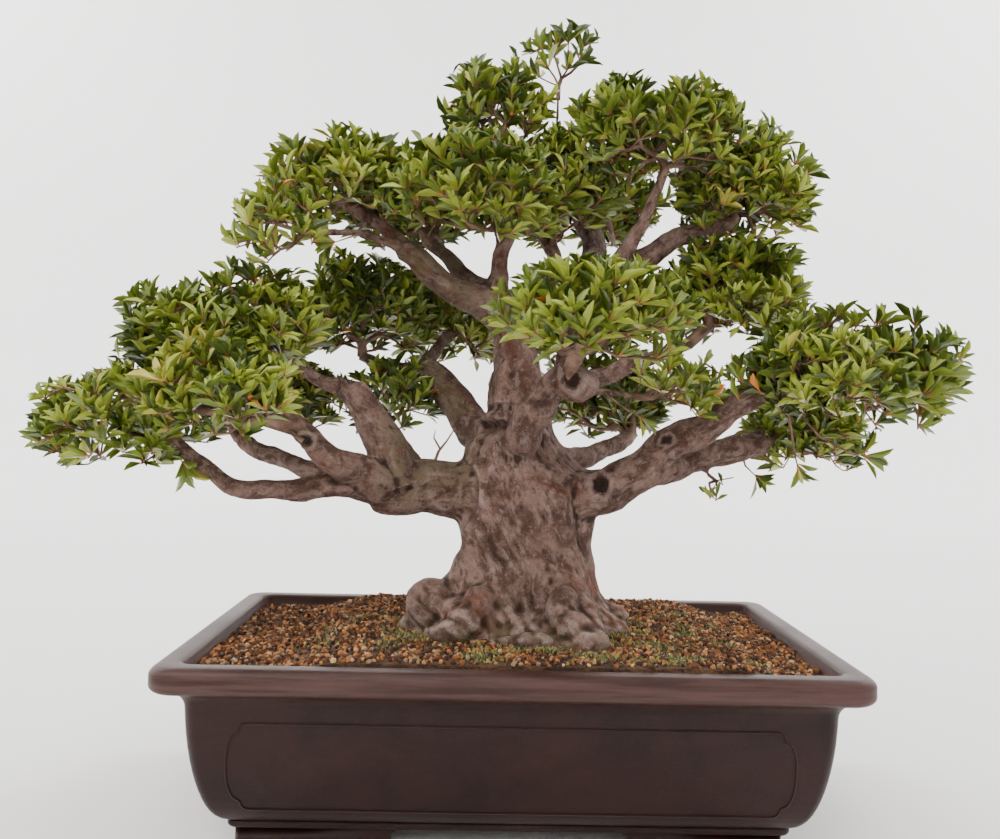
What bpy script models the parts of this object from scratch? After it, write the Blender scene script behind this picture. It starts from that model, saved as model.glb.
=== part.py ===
"""Satsuki azalea bonsai in a footed rectangular stoneware pot.

The pot carries a block of soil, the trunk stands on the soil with a flat cut, and every
bough, limb and foliage pad is a solid of its own, 0.3 mm clear of what carries it.
The front of the tree faces -Y, and Z = 0 is the surface that the pot's feet stand on.
"""
import math
import random

import bmesh
import bpy
from mathutils import Vector, noise
from mathutils.bvhtree import BVHTree

# ---------------------------------------------------------------- driving dimensions (metres)
GAP = 0.0003                     # clearance between solids that meet
CUT_GROWTH = 1.2 * GAP           # how much a cutter is grown, as its flats lie inside its corners
LUMPS = 0.2                      # unevenness of a limb, as a share of its radius
SEED = 31

POT_WIDTH = 0.449                # over the lip, left to right
POT_DEPTH = 0.278                # over the lip, front to back
POT_HEIGHT = 0.124
FOOT_HEIGHT = 0.0125
FOOT_LENGTH = 0.101              # along the front
FOOT_DEPTH = 0.062               # along the side
FOOT_WALL = 0.018
LIP_HEIGHT = 0.017
LIP_ROUNDING = 0.006
LIP_WIDTH = 0.0175
LIP_OVERHANG = 0.0185            # from the lip's edge in to the wall
CORNER_RADIUS = 0.014
BELLY_DEPTH = 0.0215             # how far the wall curves in at the bottom
WALL_TAPER = 0.002
COVE = 0.0125                    # hollow curve under the lip
BAND_HEIGHT = 0.006              # base moulding under the belly
FOOT_STEP = 0.0030               # the feet stand in from the moulding
FOOT_ARCH = 0.008                # rounding at the top of the gaps between the feet
WALL = 0.010
FLOOR = 0.012
DRAIN_RADIUS = 0.011
DRAIN_SPACING = 0.200

GROUND = 0.1275                  # height of the trunk's flat cut
SOIL_EDGE_DROP = 0.007           # soil at the pot's wall, below the rim
SOIL_PLATEAU = (0.118, 0.112)    # half sizes of the level soil that the roots spread on

TRUNK_CENTRE = (0.013, 0.004)
# Height above the cut, sideways shift, half width, half depth.
TRUNK_PROFILE = (
    (0.000, 0.0000, 0.060, 0.056),
    (0.010, 0.0000, 0.056, 0.052),
    (0.024, 0.0005, 0.052, 0.048),
    (0.040, 0.0010, 0.049, 0.046),
    (0.060, -0.0010, 0.0465, 0.045),
    (0.078, -0.0030, 0.050, 0.046),
    (0.096, -0.0040, 0.056, 0.046),
    (0.112, -0.0080, 0.049, 0.042),
    (0.128, -0.0110, 0.037, 0.035),
    (0.142, -0.0120, 0.027, 0.028),
)
TRUNK_SIDES = 26
# Surface roots: compass direction (degrees, -90 is the front), reach, half width, height.
ROOTS = (
    (190, 0.094, 21, 0.052),
    (224, 0.086, 15, 0.026),
    (262, 0.064, 13, 0.012),
    (-64, 0.098, 17, 0.030),
    (-14, 0.074, 15, 0.018),
    (48, 0.078, 18, 0.024),
    (92, 0.070, 15, 0.018),
    (138, 0.082, 18, 0.026),
)

# Limbs, in millimetres: what carries it, how far along that, tip, bow at mid-length,
# S-bend at the quarters, radius at the foot and radius at the tip.
LIMBS = {
    "leader": ("trunk", 1.0, (-14, 12, 368), (10, 3, -2), (0, 0, 0), 25, 12.5),
    "left_bough": ("trunk", 0.72, (-97, -24, 229), (0, 0, -4), (0, 0, 0), 25, 18),
    "right_bough": ("trunk", 0.66, (181, -60, 301), (0, 0, -12), (0, 0, -10), 23, 7.5),
    "front_bough": ("trunk", 0.84, (32, -95, 313), (-12, 4, -3), (0, 0, 0), 19, 7),
    "back_left_bough": ("trunk", 0.93, (-71, 60, 319), (2, 5, -13), (0, 0, 0), 19, 11),
    "back_right_bough": ("trunk", 0.84, (101, 110, 266), (0, 0, -6), (0, 0, 0), 12, 7),
    "back_bough": ("leader", 0.10, (48, 140, 347), (6, 14, -12), (0, 0, 0), 11, 5.5),
    "left_rising_bough": ("left_bough", 0.90, (-119, -18, 299), (6, 0, -2), (0, 0, 0), 19, 10.5),
    "left_upper_limb": ("left_rising_bough", 0.96, (-156, -26, 315), (0, 0, -2), (0, 0, 0), 7, 4.6),
    "left_front_limb": ("left_bough", 0.92, (-144, -80, 270), (0, -9, 0), (0, 0, 0), 13, 8),
    "left_low_limb": ("left_bough", 1.0, (-223, -86, 259), (2, -12, -18), (0, 0, 5), 11, 4.6),
    "left_back_limb": ("left_bough", 0.92, (-211, 36, 260), (-10, 4, -4), (0, 0, 0), 10, 5.8),
    "left_inner_limb": ("left_bough", 0.70, (-96, 46, 268), (6, 0, 4), (0, 0, 0), 6, 3),
    "back_left_limb": ("back_left_bough", 0.96, (-120, 80, 327), (0, 0, -3), (0, 0, 0), 7.5, 5),
    "back_inner_limb": ("back_left_bough", 0.94, (-50, 112, 352), (-5, 0, 3), (0, 0, 0), 7, 4.3),
    "front_right_limb": ("front_bough", 0.72, (79, -55, 297), (-2, 0, 4), (0, 0, 0), 4.2, 2.4),
    "right_low_limb": ("right_bough", 0.40, (195, 20, 269), (3, 6, 0), (0, 0, 0), 12, 10.5),
    "under_twig": ("right_low_limb", 0.50, (152, 14, 238), (0, 0, -2), (0, 0, 0), 2.4, 1.6),
    "centre_right_bough": ("leader", 0.28, (132, 34, 340), (-3, 0, -4), (0, 0, 0), 10, 5.4),
    "upper_left_bough": ("leader", 0.94, (-83, -4, 401), (0, 0, -6), (0, 0, 0), 13, 8.5),
    "upper_left_limb": ("upper_left_bough", 0.97, (-123, -4, 432), (0, 0, 6), (0, 0, 0), 7, 4.4),
    "upper_left_low_limb": ("upper_left_bough", 0.95, (-136, -30, 409), (0, -4, 5), (0, 0, 0), 5, 2.6),
    "upper_inner_limb": ("leader", 0.97, (-68, 40, 416), (0, 0, 0), (0, 0, 0), 9, 5.9),
    "upper_centre_bough": ("leader", 1.0, (-5, 0, 418), (-8, 2, 0), (0, 0, 0), 10.5, 5.2),
    "upper_right_bough": ("leader", 0.74, (75, 2, 392), (0, 0, 14), (0, 0, 0), 14, 10.5),
    "upper_stub_limb": ("upper_right_bough", 0.45, (23, 22, 412), (4, 0, 0), (0, 0, 0), 7.5, 5),
    "upper_back_limb": ("upper_right_bough", 0.64, (54, 60, 436), (8, 3, 4), (0, 0, 0), 10.5, 8.5),
    "upper_right_limb": ("upper_right_bough", 0.96, (104, -18, 461), (1, -5, -4), (0, 0, 0), 7.5, 4),
    "right_crest_limb": ("upper_right_bough", 1.0, (159, 26, 433), (0, 3, 3), (0, 0, 0), 10.5, 6.5),
    "apex_shoot": ("upper_stub_limb", 0.80, (27, -4, 522), (0, 0, 0), (0, 0, 0), 3.2, 1.8),
    "apex_left_limb": ("upper_centre_bough", 0.80, (-16, 0, 480), (-5, 0, 0), (0, 0, 0), 4, 2.6),
}

# Foliage pads, in millimetres: the limb that carries it, centre and half sizes of its space.
PADS = {
    "far_left_pad": ("left_low_limb", (-264, -85, 271), (58, 52, 34)),
    "left_front_pad": ("left_front_limb", (-189, -105, 292), (54, 48, 36)),
    "left_upper_pad": ("left_upper_limb", (-208, -25, 338), (78, 60, 44)),
    "left_back_pad": ("left_back_limb", (-208, 80, 290), (66, 56, 40)),
    "left_inner_pad": ("left_inner_limb", (-94, 64, 295), (42, 42, 34)),
    "back_left_pad": ("back_left_limb", (-128, 92, 367), (60, 56, 44)),
    "back_inner_pad": ("back_inner_limb", (-46, 155, 362), (58, 52, 42)),
    "back_pad": ("back_bough", (58, 182, 372), (60, 50, 42)),
    "upper_left_pad": ("upper_left_limb", (-139, 0, 450), (58, 56, 44)),
    "upper_left_low_pad": ("upper_left_low_limb", (-168, -48, 412), (36, 32, 26)),
    "upper_inner_pad": ("upper_inner_limb", (-84, 66, 447), (54, 50, 42)),
    "upper_centre_pad": ("upper_centre_bough", (-32, -40, 438), (56, 50, 44)),
    "apex_left_pad": ("apex_left_limb", (-20, 2, 512), (43, 42, 35)),
    "apex_sprig": ("apex_shoot", (31, -4, 550), (30, 28, 22)),
    "upper_stub_pad": ("upper_stub_limb", (28, 14, 458), (50, 44, 42)),
    "upper_back_pad": ("upper_back_limb", (52, 122, 466), (72, 58, 48)),
    "upper_right_pad": ("upper_right_limb", (98, -22, 490), (60, 56, 42)),
    "right_crest_pad": ("right_crest_limb", (180, 30, 461), (56, 60, 48)),
    "right_mid_pad": ("centre_right_bough", (172, 35, 381), (60, 60, 47)),
    "front_pad": ("front_bough", (40, -138, 342), (66, 46, 38)),
    "front_right_pad": ("front_right_limb", (106, -58, 302), (36, 34, 28)),
    "right_pad": ("right_bough", (231, -66, 314), (77, 60, 48)),
    "right_low_pad": ("right_low_limb", (230, 42, 270), (52, 50, 34)),
    "under_sprig": ("under_twig", (160, 16, 228), (20, 18, 16)),
    "back_right_pad": ("back_right_bough", (86, 152, 300), (60, 56, 42)),
}
LEAF_LENGTH = 0.052
LEAF_WIDTH = 0.022
LEAF_THICKNESS = 0.0020
LEAF_WIDEST = 0.58               # share of the leaf's length
LEAF_TILT = (28, 74)             # degrees from the twig's own direction
LEAVES_PER_ROSETTE = 7
LEAF_SIZES = (1.0, 1.0, 0.85, 0.85, 0.7, 0.7, 0.58)   # tried in turn until one has room
TWIG_RADIUS = 0.0019
STEM_RADIUS = 0.0034
ROSETTES_PER_LITRE = 9.4
ROSETTE_SPACING = 0.040
OUTER_REACH = 0.62               # how far out the outermost rosettes sit, as a share of the half size
PAD_MARGIN = 0.020               # share of a pad's size kept clear of its neighbours


def clear_scene():
    """Remove every object that the file opens with."""
    for obj in list(bpy.data.objects):
        bpy.data.objects.remove(obj, do_unlink=True)


def make_collection(name, hidden=False):
    """A collection in the scene; a hidden one holds cutters."""
    group = bpy.data.collections.new(name)
    bpy.context.scene.collection.children.link(group)
    group.hide_render = hidden
    return group


def make_material(name, colour, roughness):
    """A plain Principled surface."""
    surface = bpy.data.materials.new(name)
    surface.use_nodes = True
    shader = surface.node_tree.nodes["Principled BSDF"]
    shader.inputs["Base Color"].default_value = (*colour, 1.0)
    shader.inputs["Roughness"].default_value = roughness
    shader.inputs["Metallic"].default_value = 0.0
    return surface


def make_object(name, mesh_data, group, surface):
    """Turn a bmesh into a named object with its material."""
    bmesh.ops.recalc_face_normals(mesh_data, faces=mesh_data.faces[:])
    mesh = bpy.data.meshes.new(name)
    mesh_data.to_mesh(mesh)
    mesh_data.free()
    mesh.materials.append(surface)
    obj = bpy.data.objects.new(name, mesh)
    group.objects.link(obj)
    return obj


def loft(mesh_data, rings):
    """Skin closed rings of equal length with triangles, and cap each end."""
    loops = [[mesh_data.verts.new(point) for point in ring] for ring in rings]
    for lower, upper in zip(loops, loops[1:]):
        for index in range(len(lower)):
            after = (index + 1) % len(lower)
            mesh_data.faces.new((lower[index], lower[after], upper[after]))
            mesh_data.faces.new((lower[index], upper[after], upper[index]))
    mesh_data.faces.new(loops[0][::-1])
    mesh_data.faces.new(loops[-1])


def boolean(obj, other, operation, solver="EXACT"):
    """Cut with, or join to, an object or every object of a collection, and apply it."""
    modifier = obj.modifiers.new(operation.lower(), "BOOLEAN")
    modifier.operation = operation
    modifier.solver = solver
    if isinstance(other, bpy.types.Collection):
        modifier.operand_type = "COLLECTION"
        modifier.collection = other
    else:
        modifier.object = other
    graph = bpy.context.evaluated_depsgraph_get()
    mesh = bpy.data.meshes.new_from_object(obj.evaluated_get(graph))
    mesh.name = obj.data.name
    obj.modifiers.remove(modifier)
    obj.data = mesh


def islands(mesh_data):
    """The separate shells of a mesh, as lists of faces."""
    waiting = set(mesh_data.faces)
    found = []
    while waiting:
        front = [waiting.pop()]
        shell = []
        while front:
            face = front.pop()
            shell.append(face)
            for edge in face.edges:
                for neighbour in edge.link_faces:
                    if neighbour in waiting:
                        waiting.remove(neighbour)
                        front.append(neighbour)
        found.append(shell)
    return found


def signed_volume(faces):
    """Volume inside a shell, negative for a sealed hollow."""
    total = 0.0
    for face in faces:
        corners = [vert.co for vert in face.verts]
        for second, third in zip(corners[1:], corners[2:]):
            total += corners[0].dot(second.cross(third)) / 6.0
    return total


def keep_main_shell(obj):
    """Drop loose scraps and fill sealed hollows left by a Boolean."""
    mesh_data = bmesh.new()
    mesh_data.from_mesh(obj.data)
    bmesh.ops.dissolve_limit(mesh_data, angle_limit=math.radians(0.5), verts=mesh_data.verts[:],
                             edges=mesh_data.edges[:])
    bmesh.ops.triangulate(mesh_data, faces=mesh_data.faces[:])
    shells = sorted(islands(mesh_data), key=signed_volume)
    for shell in shells[:-1]:
        bmesh.ops.delete(mesh_data, geom=shell, context="FACES")
    mesh_data.to_mesh(obj.data)
    mesh_data.free()


# ---------------------------------------------------------------- pot and soil
def rounded_rectangle(inset, height, steps=2):
    """The pot's plan outline, drawn in from the lip by the inset."""
    half_x = POT_WIDTH / 2 - inset
    half_y = POT_DEPTH / 2 - inset
    radius = max(CORNER_RADIUS - 0.25 * inset, 0.006)
    ring = []
    for quarter in range(4):
        sign_x = (1, -1, -1, 1)[quarter]
        sign_y = (1, 1, -1, -1)[quarter]
        for step in range(steps + 1):
            angle = math.pi / 2 * (quarter + step / steps)
            x = sign_x * (half_x - radius) + radius * math.cos(angle)
            y = sign_y * (half_y - radius) + radius * math.sin(angle)
            ring.append((x, y, height))
    return ring


def arc(centre, size, start, end, steps):
    """Inset and height along a quarter of an ellipse, from one angle to another."""
    points = []
    for step in range(steps + 1):
        angle = math.radians(start + (end - start) * step / steps)
        points.append((centre[0] + size[0] * math.cos(angle), centre[1] + size[1] * math.sin(angle)))
    return points


def pot_profile():
    """Inset and height of every ring, from the feet up the outside and down the inside."""
    lip_bottom = POT_HEIGHT - LIP_HEIGHT
    wall = LIP_OVERHANG
    ledge = FOOT_HEIGHT + BAND_HEIGHT
    belly_top = lip_bottom - COVE
    band = wall + WALL_TAPER + BELLY_DEPTH + 0.001
    profile = [(band + FOOT_STEP, 0.0), (band + FOOT_STEP, FOOT_HEIGHT)]
    profile += [(band, FOOT_HEIGHT), (band, ledge)]
    rise = belly_top - ledge
    belly = arc((wall + BELLY_DEPTH, belly_top), (-BELLY_DEPTH, -rise), 90, 0, 6)
    profile += [(inset + WALL_TAPER * (belly_top - height) / rise, height) for inset, height in belly]
    profile += arc((wall - COVE, belly_top), (COVE, COVE), 0, 90, 3)[1:]
    profile += arc((LIP_ROUNDING, lip_bottom + LIP_ROUNDING), (-LIP_ROUNDING, -LIP_ROUNDING), 90, 0, 2)
    profile += arc((LIP_ROUNDING, POT_HEIGHT - LIP_ROUNDING), (-LIP_ROUNDING, LIP_ROUNDING), 0, 90, 2)
    profile.append((LIP_WIDTH, POT_HEIGHT))
    profile.append((LIP_WIDTH + 0.004, POT_HEIGHT - 0.014))
    profile.append((wall + WALL, belly_top - 0.004))
    profile.append((wall + WALL + 0.002, FOOT_HEIGHT + FLOOR + 0.034))
    profile.append((wall + WALL + 0.018, FOOT_HEIGHT + FLOOR))
    return profile


def set_aside(cutter):
    """Show a cutter as wire and keep it out of renders."""
    cutter.display_type = "WIRE"
    cutter.hide_render = True
    return cutter


def foot_cutter(name, size, arch, group):
    """A block through the feet, rounded along the top edges that run the way it cuts."""
    mesh_data = bmesh.new()
    bmesh.ops.create_cube(mesh_data, size=1.0)
    bmesh.ops.scale(mesh_data, vec=size, verts=mesh_data.verts[:])
    if arch is not None:
        edges = [edge for edge in mesh_data.edges
                 if all(vert.co.z > 0 for vert in edge.verts)
                 and abs(edge.verts[0].co[arch] - edge.verts[1].co[arch]) > size[arch] / 2]
        bmesh.ops.bevel(mesh_data, geom=edges, offset=FOOT_ARCH, segments=3, profile=0.5, affect="EDGES")
    return set_aside(make_object(name, mesh_data, group, bpy.data.materials["stoneware"]))


def build_pot(group, cutters):
    """A shell with a rounded lip and a drawn-in belly, on four corner feet."""
    mesh_data = bmesh.new()
    profile = pot_profile()
    loft(mesh_data, [rounded_rectangle(inset, height) for inset, height in profile])
    pot = make_object("pot", mesh_data, group, bpy.data.materials["stoneware"])
    span_x = POT_WIDTH - 2 * profile[0][0]
    span_y = POT_DEPTH - 2 * profile[0][0]
    gaps = {
        "front_gap": ((span_x - 2 * FOOT_LENGTH, POT_DEPTH, 2 * FOOT_HEIGHT), 1),
        "side_gap": ((POT_WIDTH, span_y - 2 * FOOT_DEPTH, 2 * FOOT_HEIGHT), 0),
        "under_hollow": ((span_x - 2 * FOOT_WALL, span_y - 2 * FOOT_WALL, 2 * FOOT_HEIGHT), None),
    }
    for name, (size, arch) in gaps.items():
        boolean(pot, foot_cutter(name, size, arch, cutters), "DIFFERENCE")
    for side, name in ((-1, "left_drain"), (1, "right_drain")):
        mesh_data = bmesh.new()
        bmesh.ops.create_cone(mesh_data, cap_ends=True, segments=12, radius1=DRAIN_RADIUS,
                              radius2=DRAIN_RADIUS, depth=4 * FOOT_HEIGHT)
        place = (side * DRAIN_SPACING / 2, 0.0, FOOT_HEIGHT)
        bmesh.ops.translate(mesh_data, vec=place, verts=mesh_data.verts[:])
        drill = make_object(name, mesh_data, cutters, bpy.data.materials["stoneware"])
        boolean(pot, set_aside(drill), "DIFFERENCE")
    return pot


def soil_height(x, y):
    """Level under the roots, falling and a little uneven towards the pot's wall."""
    beyond = max(abs(x - TRUNK_CENTRE[0]) / SOIL_PLATEAU[0], abs(y) / SOIL_PLATEAU[1]) - 1.0
    fall = min(max(beyond / 0.45, 0.0), 1.0)
    fall = fall * fall * (3 - 2 * fall)
    level = GROUND - GAP
    edge = POT_HEIGHT - SOIL_EDGE_DROP
    bumps = 0.0015 * noise.noise(Vector((x, y, 0.0)) * 40.0)
    return level + (edge - level + bumps) * fall


def build_soil(group, cutters):
    """A block that fills the pot 0.3 mm clear, under a gently domed surface."""
    mesh_data = bmesh.new()
    inner = [(inset + GAP, height) for inset, height in pot_profile()[-4:]]
    inner[0] = (inner[0][0] - 0.004, POT_HEIGHT + 0.014)
    inner[-1] = (inner[-1][0] + GAP, inner[-1][1] + GAP)
    loft(mesh_data, [rounded_rectangle(inset, height) for inset, height in inner[::-1]])
    soil = make_object("soil", mesh_data, group, bpy.data.materials["soil"])
    top = bmesh.new()
    bmesh.ops.create_grid(top, x_segments=13, y_segments=9, size=1.0)
    bmesh.ops.scale(top, vec=(POT_WIDTH / 2, POT_DEPTH / 2, 1.0), verts=top.verts[:])
    for vert in top.verts:
        vert.co.z = soil_height(vert.co.x, vert.co.y)
    lifted = bmesh.ops.extrude_face_region(top, geom=top.faces[:])
    raised = [item for item in lifted["geom"] if isinstance(item, bmesh.types.BMVert)]
    for vert in raised:
        vert.co.z = 2 * POT_HEIGHT
    cutter = set_aside(make_object("above_soil", top, cutters, bpy.data.materials["soil"]))
    boolean(soil, cutter, "DIFFERENCE")
    keep_main_shell(soil)
    return soil


# ---------------------------------------------------------------- trunk and limbs
def trunk_level(height):
    """Shift, half width and half depth of the trunk at a height above its cut."""
    for lower, upper in zip(TRUNK_PROFILE, TRUNK_PROFILE[1:]):
        if height <= upper[0]:
            part = (height - lower[0]) / (upper[0] - lower[0])
            part = part * part * (3 - 2 * part)
            return [a + (b - a) * part for a, b in zip(lower[1:], upper[1:])]
    return list(TRUNK_PROFILE[-1][1:])


def trunk_radius(angle, height):
    """Distance from the trunk's axis to its bark, with the surface roots."""
    _, half_x, half_y = trunk_level(height)
    radius = half_x * half_y / math.hypot(half_y * math.cos(angle), half_x * math.sin(angle))
    for direction, reach, spread, rise in ROOTS:
        turn = math.radians(direction) - angle + 6.0 * height
        turn = math.atan2(math.sin(turn), math.cos(turn))
        ridge = math.exp(-(turn / math.radians(spread)) ** 2) * math.exp(-(height / rise) ** 1.5)
        radius += (reach - 0.056) * ridge
    furrow = 0.0016 * math.sin(5 * angle + 22 * height) + 0.0012 * math.sin(9 * angle - 30 * height)
    return radius + furrow * min(height / 0.03, 1.0)


def trunk_point(along):
    """A point on the trunk's axis."""
    height = TRUNK_PROFILE[-1][0] * along
    return Vector((TRUNK_CENTRE[0] + trunk_level(height)[0], TRUNK_CENTRE[1], GROUND + height))


def trunk_rings(grow=0.0):
    """The trunk's rings, from its flat cut to its fork, flaring into the surface roots."""
    top = TRUNK_PROFILE[-1][0]
    heights = [0.0, 0.004, 0.009, 0.016, 0.025, 0.036, 0.050, 0.064]
    heights += [0.078, 0.092, 0.106, 0.120, 0.132, top]
    rings = []
    for height in heights:
        axis = trunk_point(height / top)
        axis.z += grow * ((height == top) - (height == 0.0))
        ring = []
        for side in range(TRUNK_SIDES):
            angle = 2 * math.pi * side / TRUNK_SIDES
            radius = trunk_radius(angle, height) + grow
            ring.append(axis + Vector((radius * math.cos(angle), radius * math.sin(angle), 0.0)))
        rings.append(ring)
    return rings


def build_trunk(group):
    """The trunk as one solid."""
    mesh_data = bmesh.new()
    loft(mesh_data, trunk_rings())
    return make_object("trunk", mesh_data, group, bpy.data.materials["bark"])


def limb_points(name):
    """Centre line and radii of a limb, worked out from its row."""
    parent, along, tip, bow, sway, thick, thin = LIMBS[name]
    start = limb_at(parent, along)
    tip = Vector(tip) / 1000
    count = max(4, min(8, round((tip - start).length / 0.022)))
    points = []
    for step in range(count + 1):
        part = step / count
        point = start.lerp(tip, part)
        point += Vector(bow) / 1000 * math.sin(math.pi * part)
        point += Vector(sway) / 1000 * math.sin(2 * math.pi * part)
        radius = (thick + (thin - thick) * part ** 0.8) / 1000
        points.append((point, radius))
    return points


def limb_at(name, along):
    """A point on the trunk's or a limb's centre line."""
    if name == "trunk":
        return trunk_point(along)
    points = limb_points(name)
    place = along * (len(points) - 1)
    index = min(int(place), len(points) - 2)
    return points[index][0].lerp(points[index + 1][0], place - index)


def tube_rings(points, sides, lumps=0.0, seed=0, grow=0.0):
    """Rings square to a centre line, kept from twisting, with a lumpy radius."""
    rings = []
    across = None
    last = len(points) - 1
    for index, (point, radius) in enumerate(points):
        before = points[max(index - 1, 0)][0]
        after = points[min(index + 1, last)][0]
        heading = (after - before).normalized()
        if across is None:
            across = heading.orthogonal().normalized()
        across = (across - heading * across.dot(heading)).normalized()
        over = heading.cross(across)
        ends = (index == last) - (index == 0)
        ring = []
        for side in range(sides):
            angle = 2 * math.pi * side / sides
            spoke = across * math.cos(angle) + over * math.sin(angle)
            swell = 1 + lumps * noise.noise((point + spoke * radius) * 45.0 + Vector((seed, 0, 0)))
            ring.append(point + spoke * (radius * swell + grow) + heading * ends * grow)
        rings.append(ring)
    return rings


def hidden_cutter(name, rings, group):
    """A solid that is only cut with."""
    mesh_data = bmesh.new()
    loft(mesh_data, rings)
    return set_aside(make_object(name, mesh_data, group, bpy.data.materials["bark"]))


def boxes_meet(first, second):
    """Whether two solids' boxes come within reach of each other."""
    lows = []
    highs = []
    for obj in (first, second):
        corners = [vert.co for vert in obj.data.vertices]
        lows.append([min(corner[axis] for corner in corners) for axis in range(3)])
        highs.append([max(corner[axis] for corner in corners) for axis in range(3)])
    return all(lows[0][axis] < highs[1][axis] + 0.001 and lows[1][axis] < highs[0][axis] + 0.001
               for axis in range(3))


def build_limbs(group, cutters, trunk):
    """Every limb as one tapering solid, cut clear of the limbs built before it."""
    solids = {"trunk": trunk}
    around = {"trunk": hidden_cutter("around_trunk", trunk_rings(CUT_GROWTH), cutters)}
    for number, name in enumerate(LIMBS):
        points = limb_points(name)
        sides = 8 if points[0][1] > 0.012 else 6 if points[0][1] > 0.005 else 5
        mesh_data = bmesh.new()
        loft(mesh_data, tube_rings(points, sides, LUMPS, number))
        limb = make_object(name, mesh_data, group, bpy.data.materials["bark"])
        for other, cutter in around.items():
            if boxes_meet(limb, solids[other]):
                boolean(limb, cutter, "DIFFERENCE", "MANIFOLD")
        keep_main_shell(limb)
        solids[name] = limb
        rings = tube_rings(points, sides, LUMPS, number, CUT_GROWTH)
        around[name] = hidden_cutter("around_" + name, rings, cutters)
    return solids


# ---------------------------------------------------------------- foliage
def solid_tree(obj):
    """A search tree over a solid's faces, for finding what touches it."""
    mesh_data = bmesh.new()
    mesh_data.from_mesh(obj.data)
    tree = BVHTree.FromBMesh(mesh_data)
    mesh_data.free()
    return tree


def is_clear(mesh_data, obstacles):
    """Whether a new twig or leaf crosses none of the solids."""
    tree = BVHTree.FromBMesh(mesh_data)
    return not any(obstacle.overlap(tree) for obstacle in obstacles)


def near_wood(point, wood, clearance):
    """Whether a point lies closer to a limb than the clearance."""
    return any(tree.find_nearest(point, clearance)[0] is not None for tree in wood)


def pad_distance(name, point):
    """Distance from a pad's centre as a share of its half sizes."""
    _, centre, half = PADS[name]
    offset = [(point[axis] * 1000 - centre[axis]) / half[axis] for axis in range(3)]
    return math.sqrt(sum(value * value for value in offset))


def in_own_space(name, point):
    """Inside the pad's own ellipsoid and nearer to it than to every other pad."""
    own = pad_distance(name, point)
    if own > 1.0:
        return False
    return all(own + PAD_MARGIN < pad_distance(other, point) for other in PADS if other != name)


def rosette_places(name, rng, wanted):
    """Places for rosettes: towards the pad's own outer sides first, then spread through it."""
    _, centre, half = PADS[name]
    sides = (Vector((math.copysign(1, centre[0]), 0, 0.1)), Vector((0, 0, 1)),
             Vector((0, math.copysign(1, centre[1]), 0.1)))
    ways = [side * OUTER_REACH for side in sides]
    places = []
    tries = 0
    while len(places) < wanted and tries < 4000:
        spacing = ROSETTE_SPACING * (0.92 - 0.5 * tries / 4000)
        if tries < len(ways):
            way = ways[tries]
        else:
            level = rng.uniform(-0.8, 1.0)
            turn = rng.uniform(0, 2 * math.pi)
            flat = math.sqrt(1 - level * level)
            way = Vector((flat * math.cos(turn), flat * math.sin(turn), level)) * rng.uniform(0.34, 0.76)
        tries += 1
        place = Vector([(centre[axis] + way[axis] * half[axis]) / 1000 for axis in range(3)])
        if not in_own_space(name, place):
            continue
        if all((place - other).length > spacing for other in places):
            places.append(place)
    return places


def leaf_blade(root, heading, up, length):
    """A lance-shaped blade, flat above and keeled below, widest past its middle."""
    side = heading.cross(up).normalized() * LEAF_WIDTH / 2 * length / LEAF_LENGTH
    keel = heading.cross(side).normalized() * LEAF_THICKNESS
    middle = root + heading * length * LEAF_WIDEST
    mesh_data = bmesh.new()
    ends = [mesh_data.verts.new(root), mesh_data.verts.new(root + heading * length)]
    belt = [mesh_data.verts.new(middle + offset) for offset in (side, keel, -side)]
    for index in range(3):
        after = belt[(index + 1) % 3]
        mesh_data.faces.new((ends[0], belt[index], after))
        mesh_data.faces.new((ends[1], after, belt[index]))
    return mesh_data


def twig_rod(points):
    """A three-sided tapering twig."""
    mesh_data = bmesh.new()
    loft(mesh_data, tube_rings(points, 3))
    return mesh_data


def grow_stem(limb, core, rng, obstacles):
    """The pad's stem: square to the limb's tip, then bent to a hub inside the pad."""
    points = limb_points(limb)
    tip, tip_radius = points[-1]
    heading = (tip - points[-2][0]).normalized()
    foot = tip + heading * GAP
    thick = min(tip_radius * 0.8, STEM_RADIUS)
    for attempt in range(40):
        stray = Vector([rng.uniform(-1, 1) for _ in range(3)]) * 0.0006 * attempt
        hub = foot.lerp(core, 0.45) + stray
        knee = foot + heading * 0.005
        stem = twig_rod([(foot, thick), (knee, thick), (hub, TWIG_RADIUS * 1.2)])
        if is_clear(stem, obstacles):
            return stem, knee, hub
        stem.free()
    raise RuntimeError("no clear way for the stem on " + limb)


def grow_rosette(name, place, outward, rng, wood, obstacles):
    """A whorl of leaves; one that would leave the pad or touch a solid is shortened or skipped."""
    across = outward.orthogonal().normalized()
    over = outward.cross(across)
    phase = rng.uniform(0, 2 * math.pi)
    longest = min(LEAF_LENGTH, 0.8 * max(PADS[name][2]) / 1000)
    blades = []
    for leaf in range(LEAVES_PER_ROSETTE):
        for size in LEAF_SIZES:
            angle = phase + 2 * math.pi * (leaf + rng.uniform(-0.15, 0.15)) / LEAVES_PER_ROSETTE
            tilt = math.radians(rng.uniform(*LEAF_TILT) if leaf else rng.uniform(0, 14))
            spoke = across * math.cos(angle) + over * math.sin(angle)
            lean = (outward * math.cos(tilt) + spoke * math.sin(tilt)).normalized()
            base = place - lean * 0.0006
            length = longest * size
            side = lean.cross(outward).normalized() * LEAF_WIDTH / 2 * length / LEAF_LENGTH
            middle = base + lean * length * LEAF_WIDEST
            probe = (base + lean * length, middle + side, middle - side)
            if not all(in_own_space(name, point) for point in probe):
                continue
            if any(near_wood(point, wood, 0.0015) for point in probe):
                continue
            blade = leaf_blade(base, lean, outward, length)
            if is_clear(blade, obstacles):
                blades.append(blade)
                break
            blade.free()
    return blades


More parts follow.
